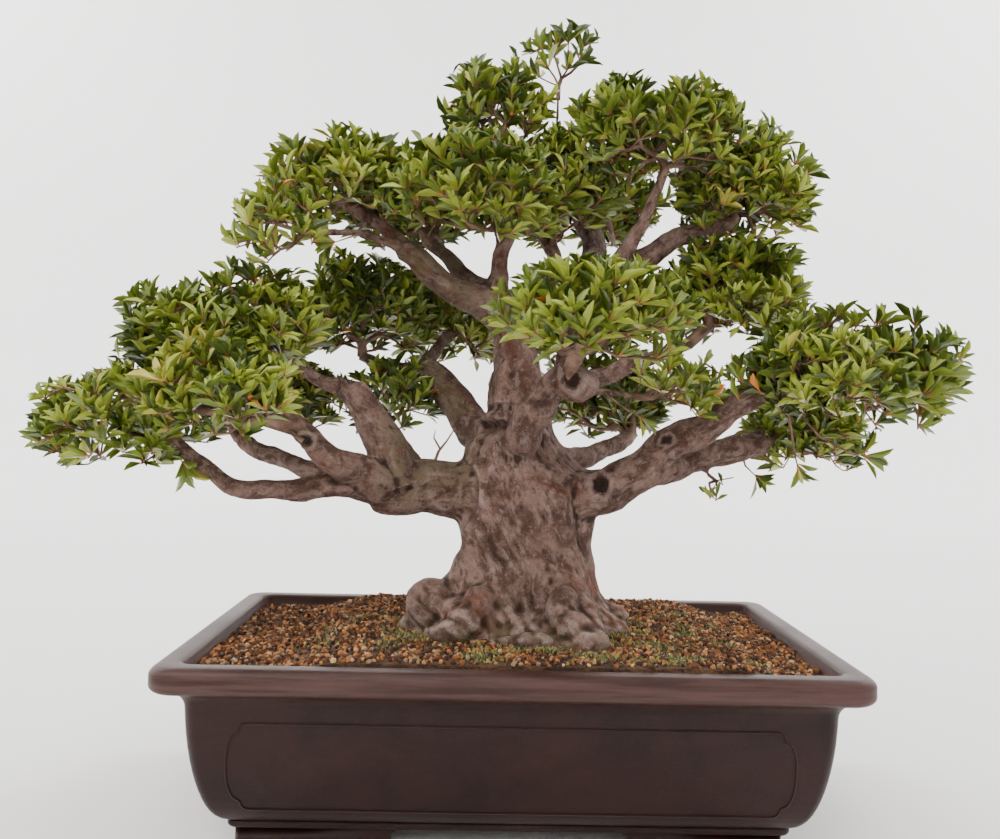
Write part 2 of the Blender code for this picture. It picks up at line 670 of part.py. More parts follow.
def build_pad(name, index, group, wood, pads):
    """Twigs from one stem with rosettes of leaves, joined by one Boolean union."""
    limb, centre, half = PADS[name]
    rng = random.Random(SEED * 100 + index)
    core = Vector(centre) / 1000
    obstacles = wood + pads
    stem, knee, hub = grow_stem(limb, core, rng, obstacles)
    pad = make_object(name, stem, group, bpy.data.materials["leaves"])
    parts = make_collection(name + "_parts")
    litres = 4 / 3 * math.pi * half[0] * half[1] * half[2] / 1e6
    wanted = max(3, round(ROSETTES_PER_LITRE * litres ** 0.8))
    skeleton = [knee.lerp(hub, 0.6), hub]
    ends = []
    places = rosette_places(name, rng, wanted)
    for place in sorted(places, key=lambda point: (point - hub).length):
        root = min(skeleton, key=lambda point: (point - place).length)
        along = (place - root).normalized()
        samples = [root.lerp(place, step / 4) for step in range(1, 5)]
        if not all(in_own_space(name, sample) for sample in samples[1:]):
            continue
        if any(near_wood(sample, wood, 0.003) for sample in samples):
            continue
        twig = twig_rod([(root - along * 0.0008, TWIG_RADIUS), (place + along * 0.001, TWIG_RADIUS)])
        if not is_clear(twig, obstacles):
            twig.free()
            continue
        skeleton += [root.lerp(place, 0.5), place]
        make_object(name + "_twig", twig, parts, bpy.data.materials["leaves"])
        ends.append((place, along))
    grown = []
    for place, along in ends:
        outward = (along * 0.3 + (place - core).normalized() * 0.6 + Vector((0, 0, 0.35))).normalized()
        for blade in grow_rosette(name, place, outward, rng, wood, obstacles + grown):
            leaf = make_object(name + "_leaf", blade, parts, bpy.data.materials["leaves"])
            grown.append(solid_tree(leaf))
    boolean(pad, parts, "UNION", "MANIFOLD")
    for obj in list(parts.objects):
        bpy.data.objects.remove(obj, do_unlink=True)
    bpy.data.collections.remove(parts)
    keep_main_shell(pad)
    return pad


def centre_on_origin(objects):
    """Put the origin under the middle of the whole plant and pot."""
    corners = [vert.co for obj in objects for vert in obj.data.vertices]
    middle = [(min(c[axis] for c in corners) + max(c[axis] for c in corners)) / 2 for axis in range(2)]
    for obj in objects:
        for vert in obj.data.vertices:
            vert.co -= Vector((middle[0], middle[1], 0.0))


def main():
    clear_scene()
    bonsai = make_collection("azalea_bonsai")
    cutters = make_collection("cutters", hidden=True)
    make_material("stoneware", (0.060, 0.034, 0.029), 0.42)
    make_material("soil", (0.130, 0.075, 0.040), 0.95)
    make_material("bark", (0.235, 0.185, 0.165), 0.88)
    make_material("leaves", (0.110, 0.200, 0.040), 0.45)
    solids = [build_pot(bonsai, cutters), build_soil(bonsai, cutters)]
    wood = build_limbs(bonsai, cutters, build_trunk(bonsai))
    solids += wood.values()
    wood_trees = [solid_tree(obj) for obj in wood.values()]
    pad_trees = []
    for index, name in enumerate(PADS):
        pad = build_pad(name, index, bonsai, wood_trees, pad_trees)
        pad_trees.append(solid_tree(pad))
        solids.append(pad)
    centre_on_origin(solids)


main()
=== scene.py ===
"""A satsuki azalea bonsai in its brown stoneware pot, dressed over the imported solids."""
import math
import random

import bmesh
import bpy
import numpy as np
from mathutils import Matrix, Vector, noise


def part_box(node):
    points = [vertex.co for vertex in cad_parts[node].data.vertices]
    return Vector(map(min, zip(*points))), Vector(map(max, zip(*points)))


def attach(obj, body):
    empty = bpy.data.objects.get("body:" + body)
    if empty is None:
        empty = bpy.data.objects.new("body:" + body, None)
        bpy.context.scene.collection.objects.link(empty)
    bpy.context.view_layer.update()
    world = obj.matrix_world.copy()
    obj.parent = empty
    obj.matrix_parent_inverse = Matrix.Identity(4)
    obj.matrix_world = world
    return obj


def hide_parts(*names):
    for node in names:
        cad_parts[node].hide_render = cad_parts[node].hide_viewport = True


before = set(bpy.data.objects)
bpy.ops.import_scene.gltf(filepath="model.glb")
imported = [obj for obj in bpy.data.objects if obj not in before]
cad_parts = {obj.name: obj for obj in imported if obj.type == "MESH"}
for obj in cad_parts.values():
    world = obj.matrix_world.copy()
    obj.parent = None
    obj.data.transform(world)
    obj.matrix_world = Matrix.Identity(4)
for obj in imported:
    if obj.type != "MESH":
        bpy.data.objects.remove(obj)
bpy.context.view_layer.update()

# ---------------------------------------------------------------- studio
# The plant stands on a pale paper sweep that rises into its own backdrop all round. It is lit
# from above the front, from overhead and more weakly from each side, and two lamps brighten the
# backdrop. The view is level with the soil.
VIEW_PLACE = (-0.0226, -0.742, 0.2776)
VIEW_ANGLES = (0.923, 0.097, 1.284)
VIEW_LENS = 36
SWEEP_PROFILE = ((0.001, 0.0), (2.6, 0.0), (3.1, 0.06), (3.5, 0.24), (3.8, 0.56), (3.95, 1.0),
                 (4.0, 3.2))
# Name, place, aim, size, power in watts and tint of each lamp.
LAMPS = (
    ("front_light", (-0.7, -1.5, 1.9), (0.0, 0.0, 0.25), 1.6, 36, (1.0, 0.98, 0.95)),
    ("top_light", (0.2, 0.3, 2.3), (0.0, 0.0, 0.2), 1.8, 30, (1.0, 0.99, 0.98)),
    ("right_light", (1.9, -0.7, 0.9), (0.0, 0.0, 0.25), 1.2, 10, (0.97, 0.98, 1.0)),
    ("left_light", (-1.9, 0.2, 0.8), (0.0, 0.0, 0.2), 1.2, 8, (1.0, 0.97, 0.95)),
    ("backdrop_left", (-2.2, 1.6, 2.9), (-1.2, 4.0, 0.5), 1.0, 120, (1.0, 0.99, 0.98)),
    ("backdrop_right", (2.2, 1.6, 2.9), (1.2, 4.0, 0.5), 1.0, 120, (1.0, 0.99, 0.98)),
)
AIR_TINT = (1.0, 0.985, 0.97, 1.0)
AIR_STRENGTH = 0.55
pot_low, pot_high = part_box("pot")
pot_centre = Vector(((pot_low.x + pot_high.x) / 2, (pot_low.y + pot_high.y) / 2, 0.0))


def show(name, data):
    """Put new data into the scene as an object."""
    obj = bpy.data.objects.new(name, data)
    bpy.context.scene.collection.objects.link(obj)
    return obj


def aim_view(place, yaw, pitch, roll):
    """The studio camera, turned by its three angles in degrees."""
    yaw, pitch, roll = (math.radians(angle) for angle in (yaw, pitch, roll))
    facing = Vector((math.sin(yaw), math.cos(yaw), 0.0))
    ahead = facing * math.cos(pitch) + Vector((0.0, 0.0, math.sin(pitch)))
    level = Vector((math.cos(yaw), -math.sin(yaw), 0.0))
    upright = level.cross(ahead)
    right = level * math.cos(roll) + upright * math.sin(roll)
    up = -level * math.sin(roll) + upright * math.cos(roll)
    lens = bpy.data.cameras.new("studio_view")
    lens.lens = lens.sensor_width = VIEW_LENS
    lens.clip_start = 0.01
    camera = show("studio_view", lens)
    turn = Matrix((right, up, -ahead)).transposed().to_4x4()
    turn.translation = place
    camera.matrix_world = turn
    bpy.context.scene.camera = camera


def soft_light(name, place, aim, size, power, tint):
    """A square area light that faces a point."""
    lamp = bpy.data.lights.new(name, "AREA")
    lamp.size, lamp.energy, lamp.color = size, power, tint
    light = show(name, lamp)
    light.location = place
    light.rotation_euler = (Vector(aim) - Vector(place)).to_track_quat("-Z", "Y").to_euler()


def smooth_over(mesh, angle=None):
    """Shade a mesh smooth, but for edges sharper than an angle in degrees where one is given."""
    mesh.polygons.foreach_set("use_smooth", [True] * len(mesh.polygons))
    if angle is not None:
        mesh.set_sharp_from_angle(angle=math.radians(angle))


def object_from(name, mesh_data, materials=(), smooth_angle=None):
    """Turn a bmesh into an object in the scene, smooth up to an angle in degrees."""
    mesh = bpy.data.meshes.new(name)
    mesh_data.to_mesh(mesh)
    mesh_data.free()
    for material in materials:
        mesh.materials.append(material)
    if smooth_angle is not None:
        smooth_over(mesh, smooth_angle)
    return show(name, mesh)


def join_shape(mesh_data, shape):
    """Add one bmesh to another."""
    held = bpy.data.meshes.new("held")
    shape.to_mesh(held)
    shape.free()
    mesh_data.from_mesh(held)
    bpy.data.meshes.remove(held)


def colour(red, green, blue):
    """A paint-chart colour, 0 to 255, as the shader's linear one."""
    return tuple((value / 255) ** 2.2 for value in (red, green, blue)) + (1.0,)


class Socket:
    """A node's output; sums written with it add their Math nodes."""

    def __init__(self, finish, output):
        self.finish = finish
        self.output = output

    def sum_with(self, operation, *values):
        return self.finish.node("Math", {"operation": operation}, dict(enumerate(values)))

    def __add__(self, other):
        return self.sum_with("ADD", self, other)

    __radd__ = __add__

    def __sub__(self, other):
        return self.sum_with("SUBTRACT", self, other)

    def __mul__(self, other):
        return self.sum_with("MULTIPLY", self, other)

    __rmul__ = __mul__

    def within(self, low, high):
        """Nought below the low value, one above the high one, and a smooth ramp between."""
        return self.finish.node("MapRange", {"interpolation_type": "SMOOTHSTEP"},
                                {0: self, 1: low, 2: high, 3: 0.0, 4: 1.0})


class Finish:
    """A Principled material and the nodes behind it."""

    def __init__(self, name, **constants):
        self.material = bpy.data.materials.new(name)
        self.material.use_nodes = True
        self.tree = self.material.node_tree
        self.shader = self.tree.nodes["Principled BSDF"]
        for socket, value in constants.items():
            self.shader.inputs[socket.replace("_", " ")].default_value = value

    def node(self, kind, settings, inputs, output=0):
        """Add a node: settings first, then the values or links of its sockets."""
        made = self.tree.nodes.new("ShaderNode" + kind)
        for key, value in settings.items():
            setattr(made, key, value)
        for key, value in inputs.items():
            if isinstance(value, Socket):
                self.tree.links.new(value.output, made.inputs[key])
            else:
                made.inputs[key].default_value = value
        return Socket(self, made.outputs[output])

    def place(self):
        """Object coordinates."""
        return self.node("TexCoord", {}, {}, "Object")

    def mix(self, share, first, second):
        """One colour into another, each a paint-chart triple or a socket."""
        first, second = (tone if isinstance(tone, Socket) else colour(*tone)
                         for tone in (first, second))
        return self.node("Mix", {"data_type": "RGBA"}, {0: share, 6: first, 7: second}, 2)

    def noise(self, place, scale, detail=3.0, rough=0.5, warp=0.0):
        """Cloudy noise, 0 to 1."""
        return self.node("TexNoise", {}, {"Vector": place, "Scale": scale, "Detail": detail,
                                          "Roughness": rough, "Distortion": warp})

    def stretched(self, place, scale):
        """Coordinates stretched before a pattern reads them."""
        return self.node("Mapping", {}, {"Vector": place, "Scale": scale})

    def feed(self, socket, value):
        """Link a value to the shader."""
        self.tree.links.new(value.output, self.shader.inputs[socket])

    def bump(self, height, distance):
        """Raise the surface by a height times the distance in metres."""
        self.feed("Normal", self.node("Bump", {}, {"Height": height, "Distance": distance}))


aim_view(Vector(VIEW_PLACE) + pot_centre, *VIEW_ANGLES)

sweep_data = bmesh.new()
edge = [sweep_data.verts.new((along, 0.0, rise)) for along, rise in SWEEP_PROFILE]
for first, second in zip(edge, edge[1:]):
    sweep_data.edges.new((first, second))
bmesh.ops.spin(sweep_data, geom=sweep_data.verts[:] + sweep_data.edges[:], cent=(0, 0, 0),
               axis=(0, 0, 1), angle=math.tau, steps=64, use_merge=True)
bmesh.ops.contextual_create(sweep_data, geom=[e for e in sweep_data.edges if e.is_boundary
                                              and e.verts[0].co.length < 0.1])
bmesh.ops.recalc_face_normals(sweep_data, faces=sweep_data.faces[:])
paper = Finish("sweep_paper", Base_Color=(0.94, 0.93, 0.925, 1.0), Roughness=0.9)
sweep = object_from("sweep", sweep_data, [paper.material], 60)

for lamp_row in LAMPS:
    soft_light(*lamp_row)
sky = bpy.data.worlds.new("studio_air")
sky.use_nodes = True
sky.node_tree.nodes["Background"].inputs["Color"].default_value = AIR_TINT
sky.node_tree.nodes["Background"].inputs["Strength"].default_value = AIR_STRENGTH
bpy.context.scene.world = sky

# ---------------------------------------------------------------- pot
# A slab-built rectangular pot of unglazed dark brown clay, fired to a soft sheen. Its lip rolls
# out over a hollow neck, the belly is drawn in to a moulding, and it stands on four corner feet.
POT_WIDTH = 0.449
POT_DEPTH = 0.278
POT_HEIGHT = 0.124
FOOT_HEIGHT = 0.0125
FOOT_LENGTH = 0.101
FOOT_DEPTH = 0.062
FOOT_WALL = 0.018
LIP_HEIGHT = 0.017
LIP_ROUNDING = 0.006
LIP_WIDTH = 0.0175
WALL_INSET = 0.0185
CORNER_RADIUS = 0.014
BELLY_DEPTH = 0.0215
WALL_TAPER = 0.002
COVE = 0.0125
BAND_HEIGHT = 0.006
FOOT_STEP = 0.0030
FOOT_ARCH = 0.008
WALL = 0.010
FLOOR = 0.012
DRAIN_RADIUS = 0.011
DRAIN_SPACING = 0.200
CORNER_STEPS = 9
BELLY_STEPS = 14
LEDGE = FOOT_HEIGHT + BAND_HEIGHT
BELLY_TOP = POT_HEIGHT - LIP_HEIGHT - COVE
BEAD_WIDTH = 0.0017
BEAD_RISE = 0.0009
BEAD_SIDES = 8
PANEL_LOW = 0.0290
PANEL_HIGH = 0.0868
PANEL_HALVES = {"f": 0.1785, "b": 0.1785, "l": 0.093, "r": 0.093}
WALL_WAYS = {"f": (0, -1, 0), "b": (0, 1, 0), "r": (1, 0, 0), "l": (-1, 0, 0)}
# A panel's upper right corner: across from its side and up from its top, in metres.
PANEL_CORNER = ((-0.0135, 0.0), (-0.0112, -0.0004), (-0.0094, -0.0016), (-0.0083, -0.0034),
                (-0.0079, -0.0054), (-0.0072, -0.0068), (-0.0058, -0.0075), (-0.0044, -0.0083),
                (-0.0030, -0.0100), (-0.0018, -0.0130), (-0.0008, -0.0170), (-0.0002, -0.0215))


def plan_point(index, inset, height):
    """A point on the pot's rounded plan, counted round its four corners."""
    quarter, step = divmod(index, CORNER_STEPS + 1)
    radius = max(CORNER_RADIUS - 0.25 * inset, 0.006)
    angle = math.pi / 2 * (quarter + step / CORNER_STEPS)
    x = (1, -1, -1, 1)[quarter] * (POT_WIDTH / 2 - inset - radius) + radius * math.cos(angle)
    y = (1, 1, -1, -1)[quarter] * (POT_DEPTH / 2 - inset - radius) + radius * math.sin(angle)
    return Vector((x, y, height)) + pot_centre


def skin(mesh_data, count, rings, place, closed=False):
    """Skin rings of a circle's points, each moved to its place, and cap the two ends."""
    loops = []
    for ring in rings:
        made = bmesh.ops.create_circle(mesh_data, segments=count, radius=1.0)["verts"]
        for index, vert in enumerate(made):
            vert.co = place(index, *ring)
        loops.append([mesh_data.edges.get((vert, made[index - 1]))
                      for index, vert in enumerate(made)])
    if not closed:
        for end in (loops[0], loops[-1]):
            bmesh.ops.contextual_create(mesh_data, geom=end)
    else:
        loops.append(loops[0])
    for lower, upper in zip(loops, loops[1:]):
        bmesh.ops.bridge_loops(mesh_data, edges=lower + upper)
    bmesh.ops.recalc_face_normals(mesh_data, faces=mesh_data.faces[:])


def arc(centre, size, start, end, steps):
    """Inset and height along part of an ellipse."""
    turns = [math.radians(start + (end - start) * step / steps) for step in range(steps + 1)]
    return [(centre[0] + size[0] * math.cos(turn), centre[1] + size[1] * math.sin(turn))
            for turn in turns]


def belly_inset(height):
    """How far the wall stands in from the lip's edge, at a height on the belly."""
    share = min(max((BELLY_TOP - height) / (BELLY_TOP - LEDGE), 0.0), 1.0)
    return WALL_INSET + BELLY_DEPTH * (1 - math.sqrt(1 - share * share)) + WALL_TAPER * share


def pot_rings():
    """Inset and height of every ring, from the feet up the outside and down the inside."""
    band = WALL_INSET + WALL_TAPER + BELLY_DEPTH + 0.001
    neck = POT_HEIGHT - LIP_HEIGHT
    rings = [(band + FOOT_STEP, 0.0), (band + FOOT_STEP, FOOT_HEIGHT), (band, FOOT_HEIGHT)]
    rings += arc((band + 0.001, FOOT_HEIGHT + 0.003), (-0.0022, -0.0028), 60, -60, 4)[1:-1]
    rings += [(band, LEDGE - 0.0006), (band + 0.0012, LEDGE - 0.0002)]
    for step in range(BELLY_STEPS + 1):
        height = BELLY_TOP - (BELLY_TOP - LEDGE) * math.cos(math.pi / 2 * step / BELLY_STEPS)
        rings.append((belly_inset(height), height))
    rings += arc((WALL_INSET - COVE, BELLY_TOP), (COVE, COVE), 0, 90, 8)[1:]
    rings += arc((LIP_ROUNDING, neck + LIP_ROUNDING), (-LIP_ROUNDING, -LIP_ROUNDING), 90, 0, 6)[1:]
    rings += arc((LIP_ROUNDING, POT_HEIGHT - LIP_ROUNDING), (-LIP_ROUNDING, LIP_ROUNDING),
                 0, 90, 6)[1:]
    rings += arc((LIP_WIDTH - 0.003, POT_HEIGHT - 0.003), (0.003, 0.003), 90, 0, 4)
    rings += [(LIP_WIDTH + 0.004, POT_HEIGHT - 0.014), (WALL_INSET + WALL, BELLY_TOP - 0.004)]
    rings += [(WALL_INSET + WALL + 0.002, LEDGE + 0.04),
              (WALL_INSET + WALL + 0.018, FOOT_HEIGHT + FLOOR)]
    return rings


def cut_away(obj, cutter):
    """Cut a shape out of an object, and throw the shape away."""
    modifier = obj.modifiers.new("cut", "BOOLEAN")
    modifier.operation = "DIFFERENCE"
    modifier.solver = "EXACT"
    modifier.object = cutter
    settle(obj)
    bpy.data.objects.remove(cutter, do_unlink=True)


def settle(obj):
    """Make an object's modifiers part of its mesh."""
    graph = bpy.context.evaluated_depsgraph_get()
    mesh = bpy.data.meshes.new_from_object(obj.evaluated_get(graph))
    obj.modifiers.clear()
    obj.data = mesh


def round_off(mesh_data, edges, offset, segments):
    """Bevel edges to a round."""
    bmesh.ops.bevel(mesh_data, geom=edges, offset=offset, offset_type="OFFSET", affect="EDGES",
                    segments=segments, profile=0.5, material=-1)


def foot_gap(size, arch):
    """A block through the feet, its top rounded along the way it cuts."""
    mesh_data = bmesh.new()
    bmesh.ops.create_cube(mesh_data, size=1.0)
    bmesh.ops.scale(mesh_data, vec=size, verts=mesh_data.verts[:])
    if arch is not None:
        top = [e for e in mesh_data.edges if all(vert.co.z > 0 for vert in e.verts)
               and abs(e.verts[0].co[arch] - e.verts[1].co[arch]) > size[arch] / 2]
        round_off(mesh_data, top, FOOT_ARCH, 8)
    bmesh.ops.translate(mesh_data, vec=pot_centre, verts=mesh_data.verts[:])
    return object_from("foot_gap", mesh_data)


def panel_outline(half_width):
    """A panel's outline with a round step at each corner, as distance along the wall and height."""
    right = [(half_width + x, PANEL_HIGH + z) for x, z in PANEL_CORNER]
    right += [(half_width, (PANEL_LOW + PANEL_HIGH) / 2)]
    right += [(half_width + x, PANEL_LOW - z) for x, z in PANEL_CORNER[::-1]]
    return right + [(-x, z) for x, z in right[::-1]]


def panel_bead(mesh_data, side):
    """A thin rounded bead laid on the belly along a panel's outline; side picks the wall."""
    outline = panel_outline(PANEL_HALVES[side])
    fine = []
    for (x, z), (next_x, next_z) in zip(outline, outline[1:] + outline[:1]):
        steps = max(1, round(math.hypot(next_x - x, next_z - z) / 0.006))
        fine += [(x + (next_x - x) * step / steps, z + (next_z - z) * step / steps)
                 for step in range(steps)]

    def on_wall(along, height):
        reach = (POT_DEPTH if side in "fb" else POT_WIDTH) / 2 - belly_inset(height)
        spot = {"f": (along, -reach), "b": (-along, reach),
                "r": (reach, along), "l": (-reach, -along)}
        return Vector((*spot[side], height)) + pot_centre

    def bead_point(index, order):
        here = fine[order]
        back, ahead = fine[order - 1], fine[(order + 1) % len(fine)]
        run = Vector((ahead[0] - back[0], ahead[1] - back[1])).normalized()
        turn = math.tau * index / BEAD_SIDES
        out = math.cos(turn) * BEAD_WIDTH / 2
        spot = on_wall(here[0] + run.y * out, here[1] - run.x * out)
        return spot + Vector(WALL_WAYS[side]) * (math.sin(turn) * BEAD_RISE - 0.0001)

    bead = bmesh.new()
    skin(bead, BEAD_SIDES, [(order,) for order in range(len(fine))], bead_point, closed=True)
    join_shape(mesh_data, bead)


clay_data = bmesh.new()
skin(clay_data, 4 * (CORNER_STEPS + 1), pot_rings(), plan_point)
pot = object_from("stoneware_pot", clay_data)
foot_inset = pot_rings()[0][0]
span_x = POT_WIDTH - 2 * foot_inset
span_y = POT_DEPTH - 2 * foot_inset
cut_away(pot, foot_gap((span_x - 2 * FOOT_LENGTH, POT_DEPTH, 2 * FOOT_HEIGHT), 1))
cut_away(pot, foot_gap((POT_WIDTH, span_y - 2 * FOOT_DEPTH, 2 * FOOT_HEIGHT), 0))
cut_away(pot, foot_gap((span_x - 2 * FOOT_WALL, span_y - 2 * FOOT_WALL, 2 * FOOT_HEIGHT), None))
for side in (-1, 1):
    drill_data = bmesh.new()
    bmesh.ops.create_cone(drill_data, cap_ends=True, segments=32, radius1=DRAIN_RADIUS,
                          radius2=DRAIN_RADIUS, depth=4 * FOOT_HEIGHT)
    spot = pot_centre + Vector((side * DRAIN_SPACING / 2, 0.0, FOOT_HEIGHT))
    bmesh.ops.translate(drill_data, vec=spot, verts=drill_data.verts[:])
    cut_away(pot, object_from("drain_drill", drill_data))
clay_data = bmesh.new()
clay_data.from_mesh(pot.data)
bmesh.ops.remove_doubles(clay_data, verts=clay_data.verts[:], dist=0.00002)
sharp = [e for e in clay_data.edges
         if len(e.link_faces) == 2 and e.calc_face_angle() > math.radians(50)]
round_off(clay_data, sharp, 0.0008, 2)
for side in PANEL_HALVES:
    panel_bead(clay_data, side)
clay_data.to_mesh(pot.data)
clay_data.free()
smooth_over(pot.data, 38)

clay = Finish("brown_stoneware", Specular_IOR_Level=0.22, Coat_Weight=0.05, Coat_Roughness=0.28)
where = clay.place()
streaks = clay.noise(clay.stretched(where, (14, 14, 260)), 1.0, 4.0, 0.6)
clouds = clay.noise(where, 16.0, 4.0, 0.6, 0.6)
specks = clay.noise(where, 1500.0, 2.0, 0.7)
height_up = clay.node("SeparateXYZ", {}, {0: where}, 2)
# The lip and rim are painted lighter than the body. This is partly a painted reflection of the
# bright studio on their upper faces and partly wear, streaked with throwing marks.
lip_wear_and_sheen_share = height_up.within(0.098, 0.112)
body = clay.mix(clouds.within(0.3, 0.7), (33, 16, 12), (45, 25, 20))
lip_wear_and_sheen_tone = clay.mix(streaks.within(0.3, 0.7), (58, 38, 34), (88, 64, 60))
shade = clay.mix(lip_wear_and_sheen_share * 0.75, body, lip_wear_and_sheen_tone)
shade = clay.mix(specks.within(0.62, 0.75) * 0.25, shade, (120, 92, 80))
clay.feed("Base Color", shade)
clay.feed("Roughness", 0.40 + 0.16 * clouds - 0.10 * streaks)
clay.bump(specks * 0.5 + streaks * 0.7, 0.00035)
pot.data.materials.append(clay.material)
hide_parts("pot")
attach(pot, "root")

# ---------------------------------------------------------------- soil
# Akadama and pumice grains, 2 to 5 mm across, heaped a little round the roots. Moss has taken
# hold between the roots and along the front, with a few brown tufts among it.
GROUND = 0.1275
SOIL_EDGE_DROP = 0.007
SOIL_PLATEAU = (0.118, 0.112)
SOIL_INSET = 0.0190
TRUNK_CENTRE = (0.013, 0.004)
GRAINS = 7600
GRAIN_SIZES = (0.0010, 0.0013, 0.0016, 0.0016, 0.0020, 0.0024)
GRAIN_TONES = ((92, 58, 36), (130, 84, 48), (178, 118, 68), (62, 40, 28), (150, 120, 92),
               (204, 166, 116))
GRAIN_SHARES = (26, 24, 14, 22, 9, 5)
MOSS_TUFTS = 5200
MOSS_TONES = ((62, 66, 24), (100, 100, 34), (148, 134, 54), (84, 64, 34))
MOSS_SHARES = (3, 4, 2, 1.6)


def eased(part):
    """A smooth step from 0 to 1."""
    return part * part * (3 - 2 * part)


def soil_height(x, y):
    """Level under the roots, falling and a little uneven towards the pot's wall."""
    beyond = max(abs(x - TRUNK_CENTRE[0]) / SOIL_PLATEAU[0], abs(y) / SOIL_PLATEAU[1]) - 1.0
    fall = eased(min(max(beyond / 0.45, 0.0), 1.0))
    bumps = 0.0015 * noise.noise(Vector((x, y, 0.0)) * 40.0)
    level = GROUND - 0.0008 + 0.0009 * noise.noise(Vector((x, y, 3.0)) * 70.0)
    return level + (POT_HEIGHT - SOIL_EDGE_DROP - GROUND + bumps) * fall


def moss_share(x, y):
    """How thickly moss grows at a place, 0 to 1."""
    near = math.hypot((x - TRUNK_CENTRE[0]) / 0.115, (y - TRUNK_CENTRE[1] + 0.02) / 0.105)
    patch = noise.fractal(Vector((x * 34, y * 34, 5.0)), 1.0, 2.0, 3)
    return min(max(1.25 - near + patch * 1.1, 0.0), 1.0)


def stamp(name, patterns, copies, materials, smooth=True):
    """Join many copies of a few patterns: each copy is a pattern, a 4 x 4 placing and a tone."""
    points, loops, starts, totals, tones, spots = [], [], [], [], [], []
    point_count = loop_count = 0
    shapes = []
    for pattern in patterns:
        mesh = bpy.data.meshes.new(name)
        pattern.to_mesh(mesh)
        base = np.array([vert.co for vert in mesh.vertices]).reshape(-1, 3)
        corner = np.array([loop.vertex_index for loop in mesh.loops])
        sizes = np.array([face.loop_total for face in mesh.polygons])
        tone = np.array([face.material_index for face in mesh.polygons])
        layer = mesh.uv_layers.active
        flat = np.array([item.uv for item in layer.data]) if layer else np.zeros((len(corner), 2))
        shapes.append((base, corner, sizes, tone, flat))
        bpy.data.meshes.remove(mesh)
    for kind, placing, tone_shift in copies:
        base, corner, sizes, tone, flat = shapes[kind]
        points.append(base @ placing[:3, :3].T + placing[:3, 3])
        loops.append(corner + point_count)
        starts.append(np.concatenate(([0], np.cumsum(sizes)[:-1])) + loop_count)
        totals.append(sizes)
        tones.append(tone + tone_shift)
        spots.append(flat)
        point_count += len(base)
        loop_count += len(corner)
    mesh = bpy.data.meshes.new(name)
    mesh.vertices.add(point_count)
    mesh.vertices.foreach_set("co", np.concatenate(points).ravel())
    mesh.loops.add(loop_count)
    mesh.loops.foreach_set("vertex_index", np.concatenate(loops))
    mesh.polygons.add(sum(len(part) for part in totals))
    mesh.polygons.foreach_set("loop_start", np.concatenate(starts))
    for material in materials:
        mesh.materials.append(material)
    mesh.update(calc_edges=True)
    mesh.polygons.foreach_set("material_index", np.concatenate(tones))
    mesh.polygons.foreach_set("use_smooth", [smooth] * len(mesh.polygons))
    mesh.uv_layers.new(name="own_shape").data.foreach_set("uv", np.concatenate(spots).ravel())
    mesh.validate()
    return show(name, mesh)


def placing(origin, side, ahead, up, size):
    """A 4 x 4 placing from three axes and a size along each."""
    matrix = np.eye(4)
    for column, (axis, scale) in enumerate(zip((side, ahead, up), size)):
        matrix[:3, column] = np.array(axis) * scale
    matrix[:3, 3] = origin
    return matrix


def any_turn(rng):
    """Three square axes turned at random."""
    first = Vector([rng.gauss(0, 1) for _ in range(3)]).normalized()
    second = first.orthogonal().normalized()
    second.rotate(Matrix.Rotation(rng.uniform(0, math.tau), 3, first))
    return first, second, first.cross(second)


earth_data = bmesh.new()
bmesh.ops.create_grid(earth_data, x_segments=90, y_segments=56, size=0.5)
bmesh.ops.scale(earth_data, vec=(POT_WIDTH - 2 * SOIL_INSET, POT_DEPTH - 2 * SOIL_INSET, 1.0),
                verts=earth_data.verts[:])
for vert in earth_data.verts:
    vert.co.z = soil_height(vert.co.x, vert.co.y) - 0.0008
    vert.co += pot_centre
rim = [e for e in earth_data.edges if e.is_boundary]
skirt = bmesh.ops.extrude_edge_only(earth_data, edges=rim)["geom"]
low_rim = [item for item in skirt if isinstance(item, bmesh.types.BMEdge)]
for vert in [item for item in skirt if isinstance(item, bmesh.types.BMVert)]:
    vert.co.z = POT_HEIGHT - 0.02
bmesh.ops.contextual_create(earth_data, geom=low_rim)
bmesh.ops.recalc_face_normals(earth_data, faces=earth_data.faces[:])
corner_edges = [e for e in earth_data.edges if abs(e.verts[0].co.z - e.verts[1].co.z) > 0.004
                and all(abs(abs(v.co.x - pot_centre.x) - POT_WIDTH / 2 + SOIL_INSET) < 0.0005
                        and abs(abs(v.co.y - pot_centre.y) - POT_DEPTH / 2 + SOIL_INSET) < 0.0005
                        for v in e.verts)]
round_off(earth_data, corner_edges, 0.009, 4)
loam = Finish("damp_loam", Roughness=0.95)
where = loam.place()
crumbs = loam.node("TexVoronoi", {}, {"Vector": where, "Scale": 420.0})
tint = loam.noise(where, 60.0, 4.0)
loam.feed("Base Color", loam.mix(tint.within(0.35, 0.65), (52, 36, 26), (92, 66, 46)))
loam.bump(crumbs * 1.0 + tint * 0.5, 0.0012)
earth = object_from("soil_bed", earth_data, [loam.material], 60)
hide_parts("soil")
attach(earth, "root")

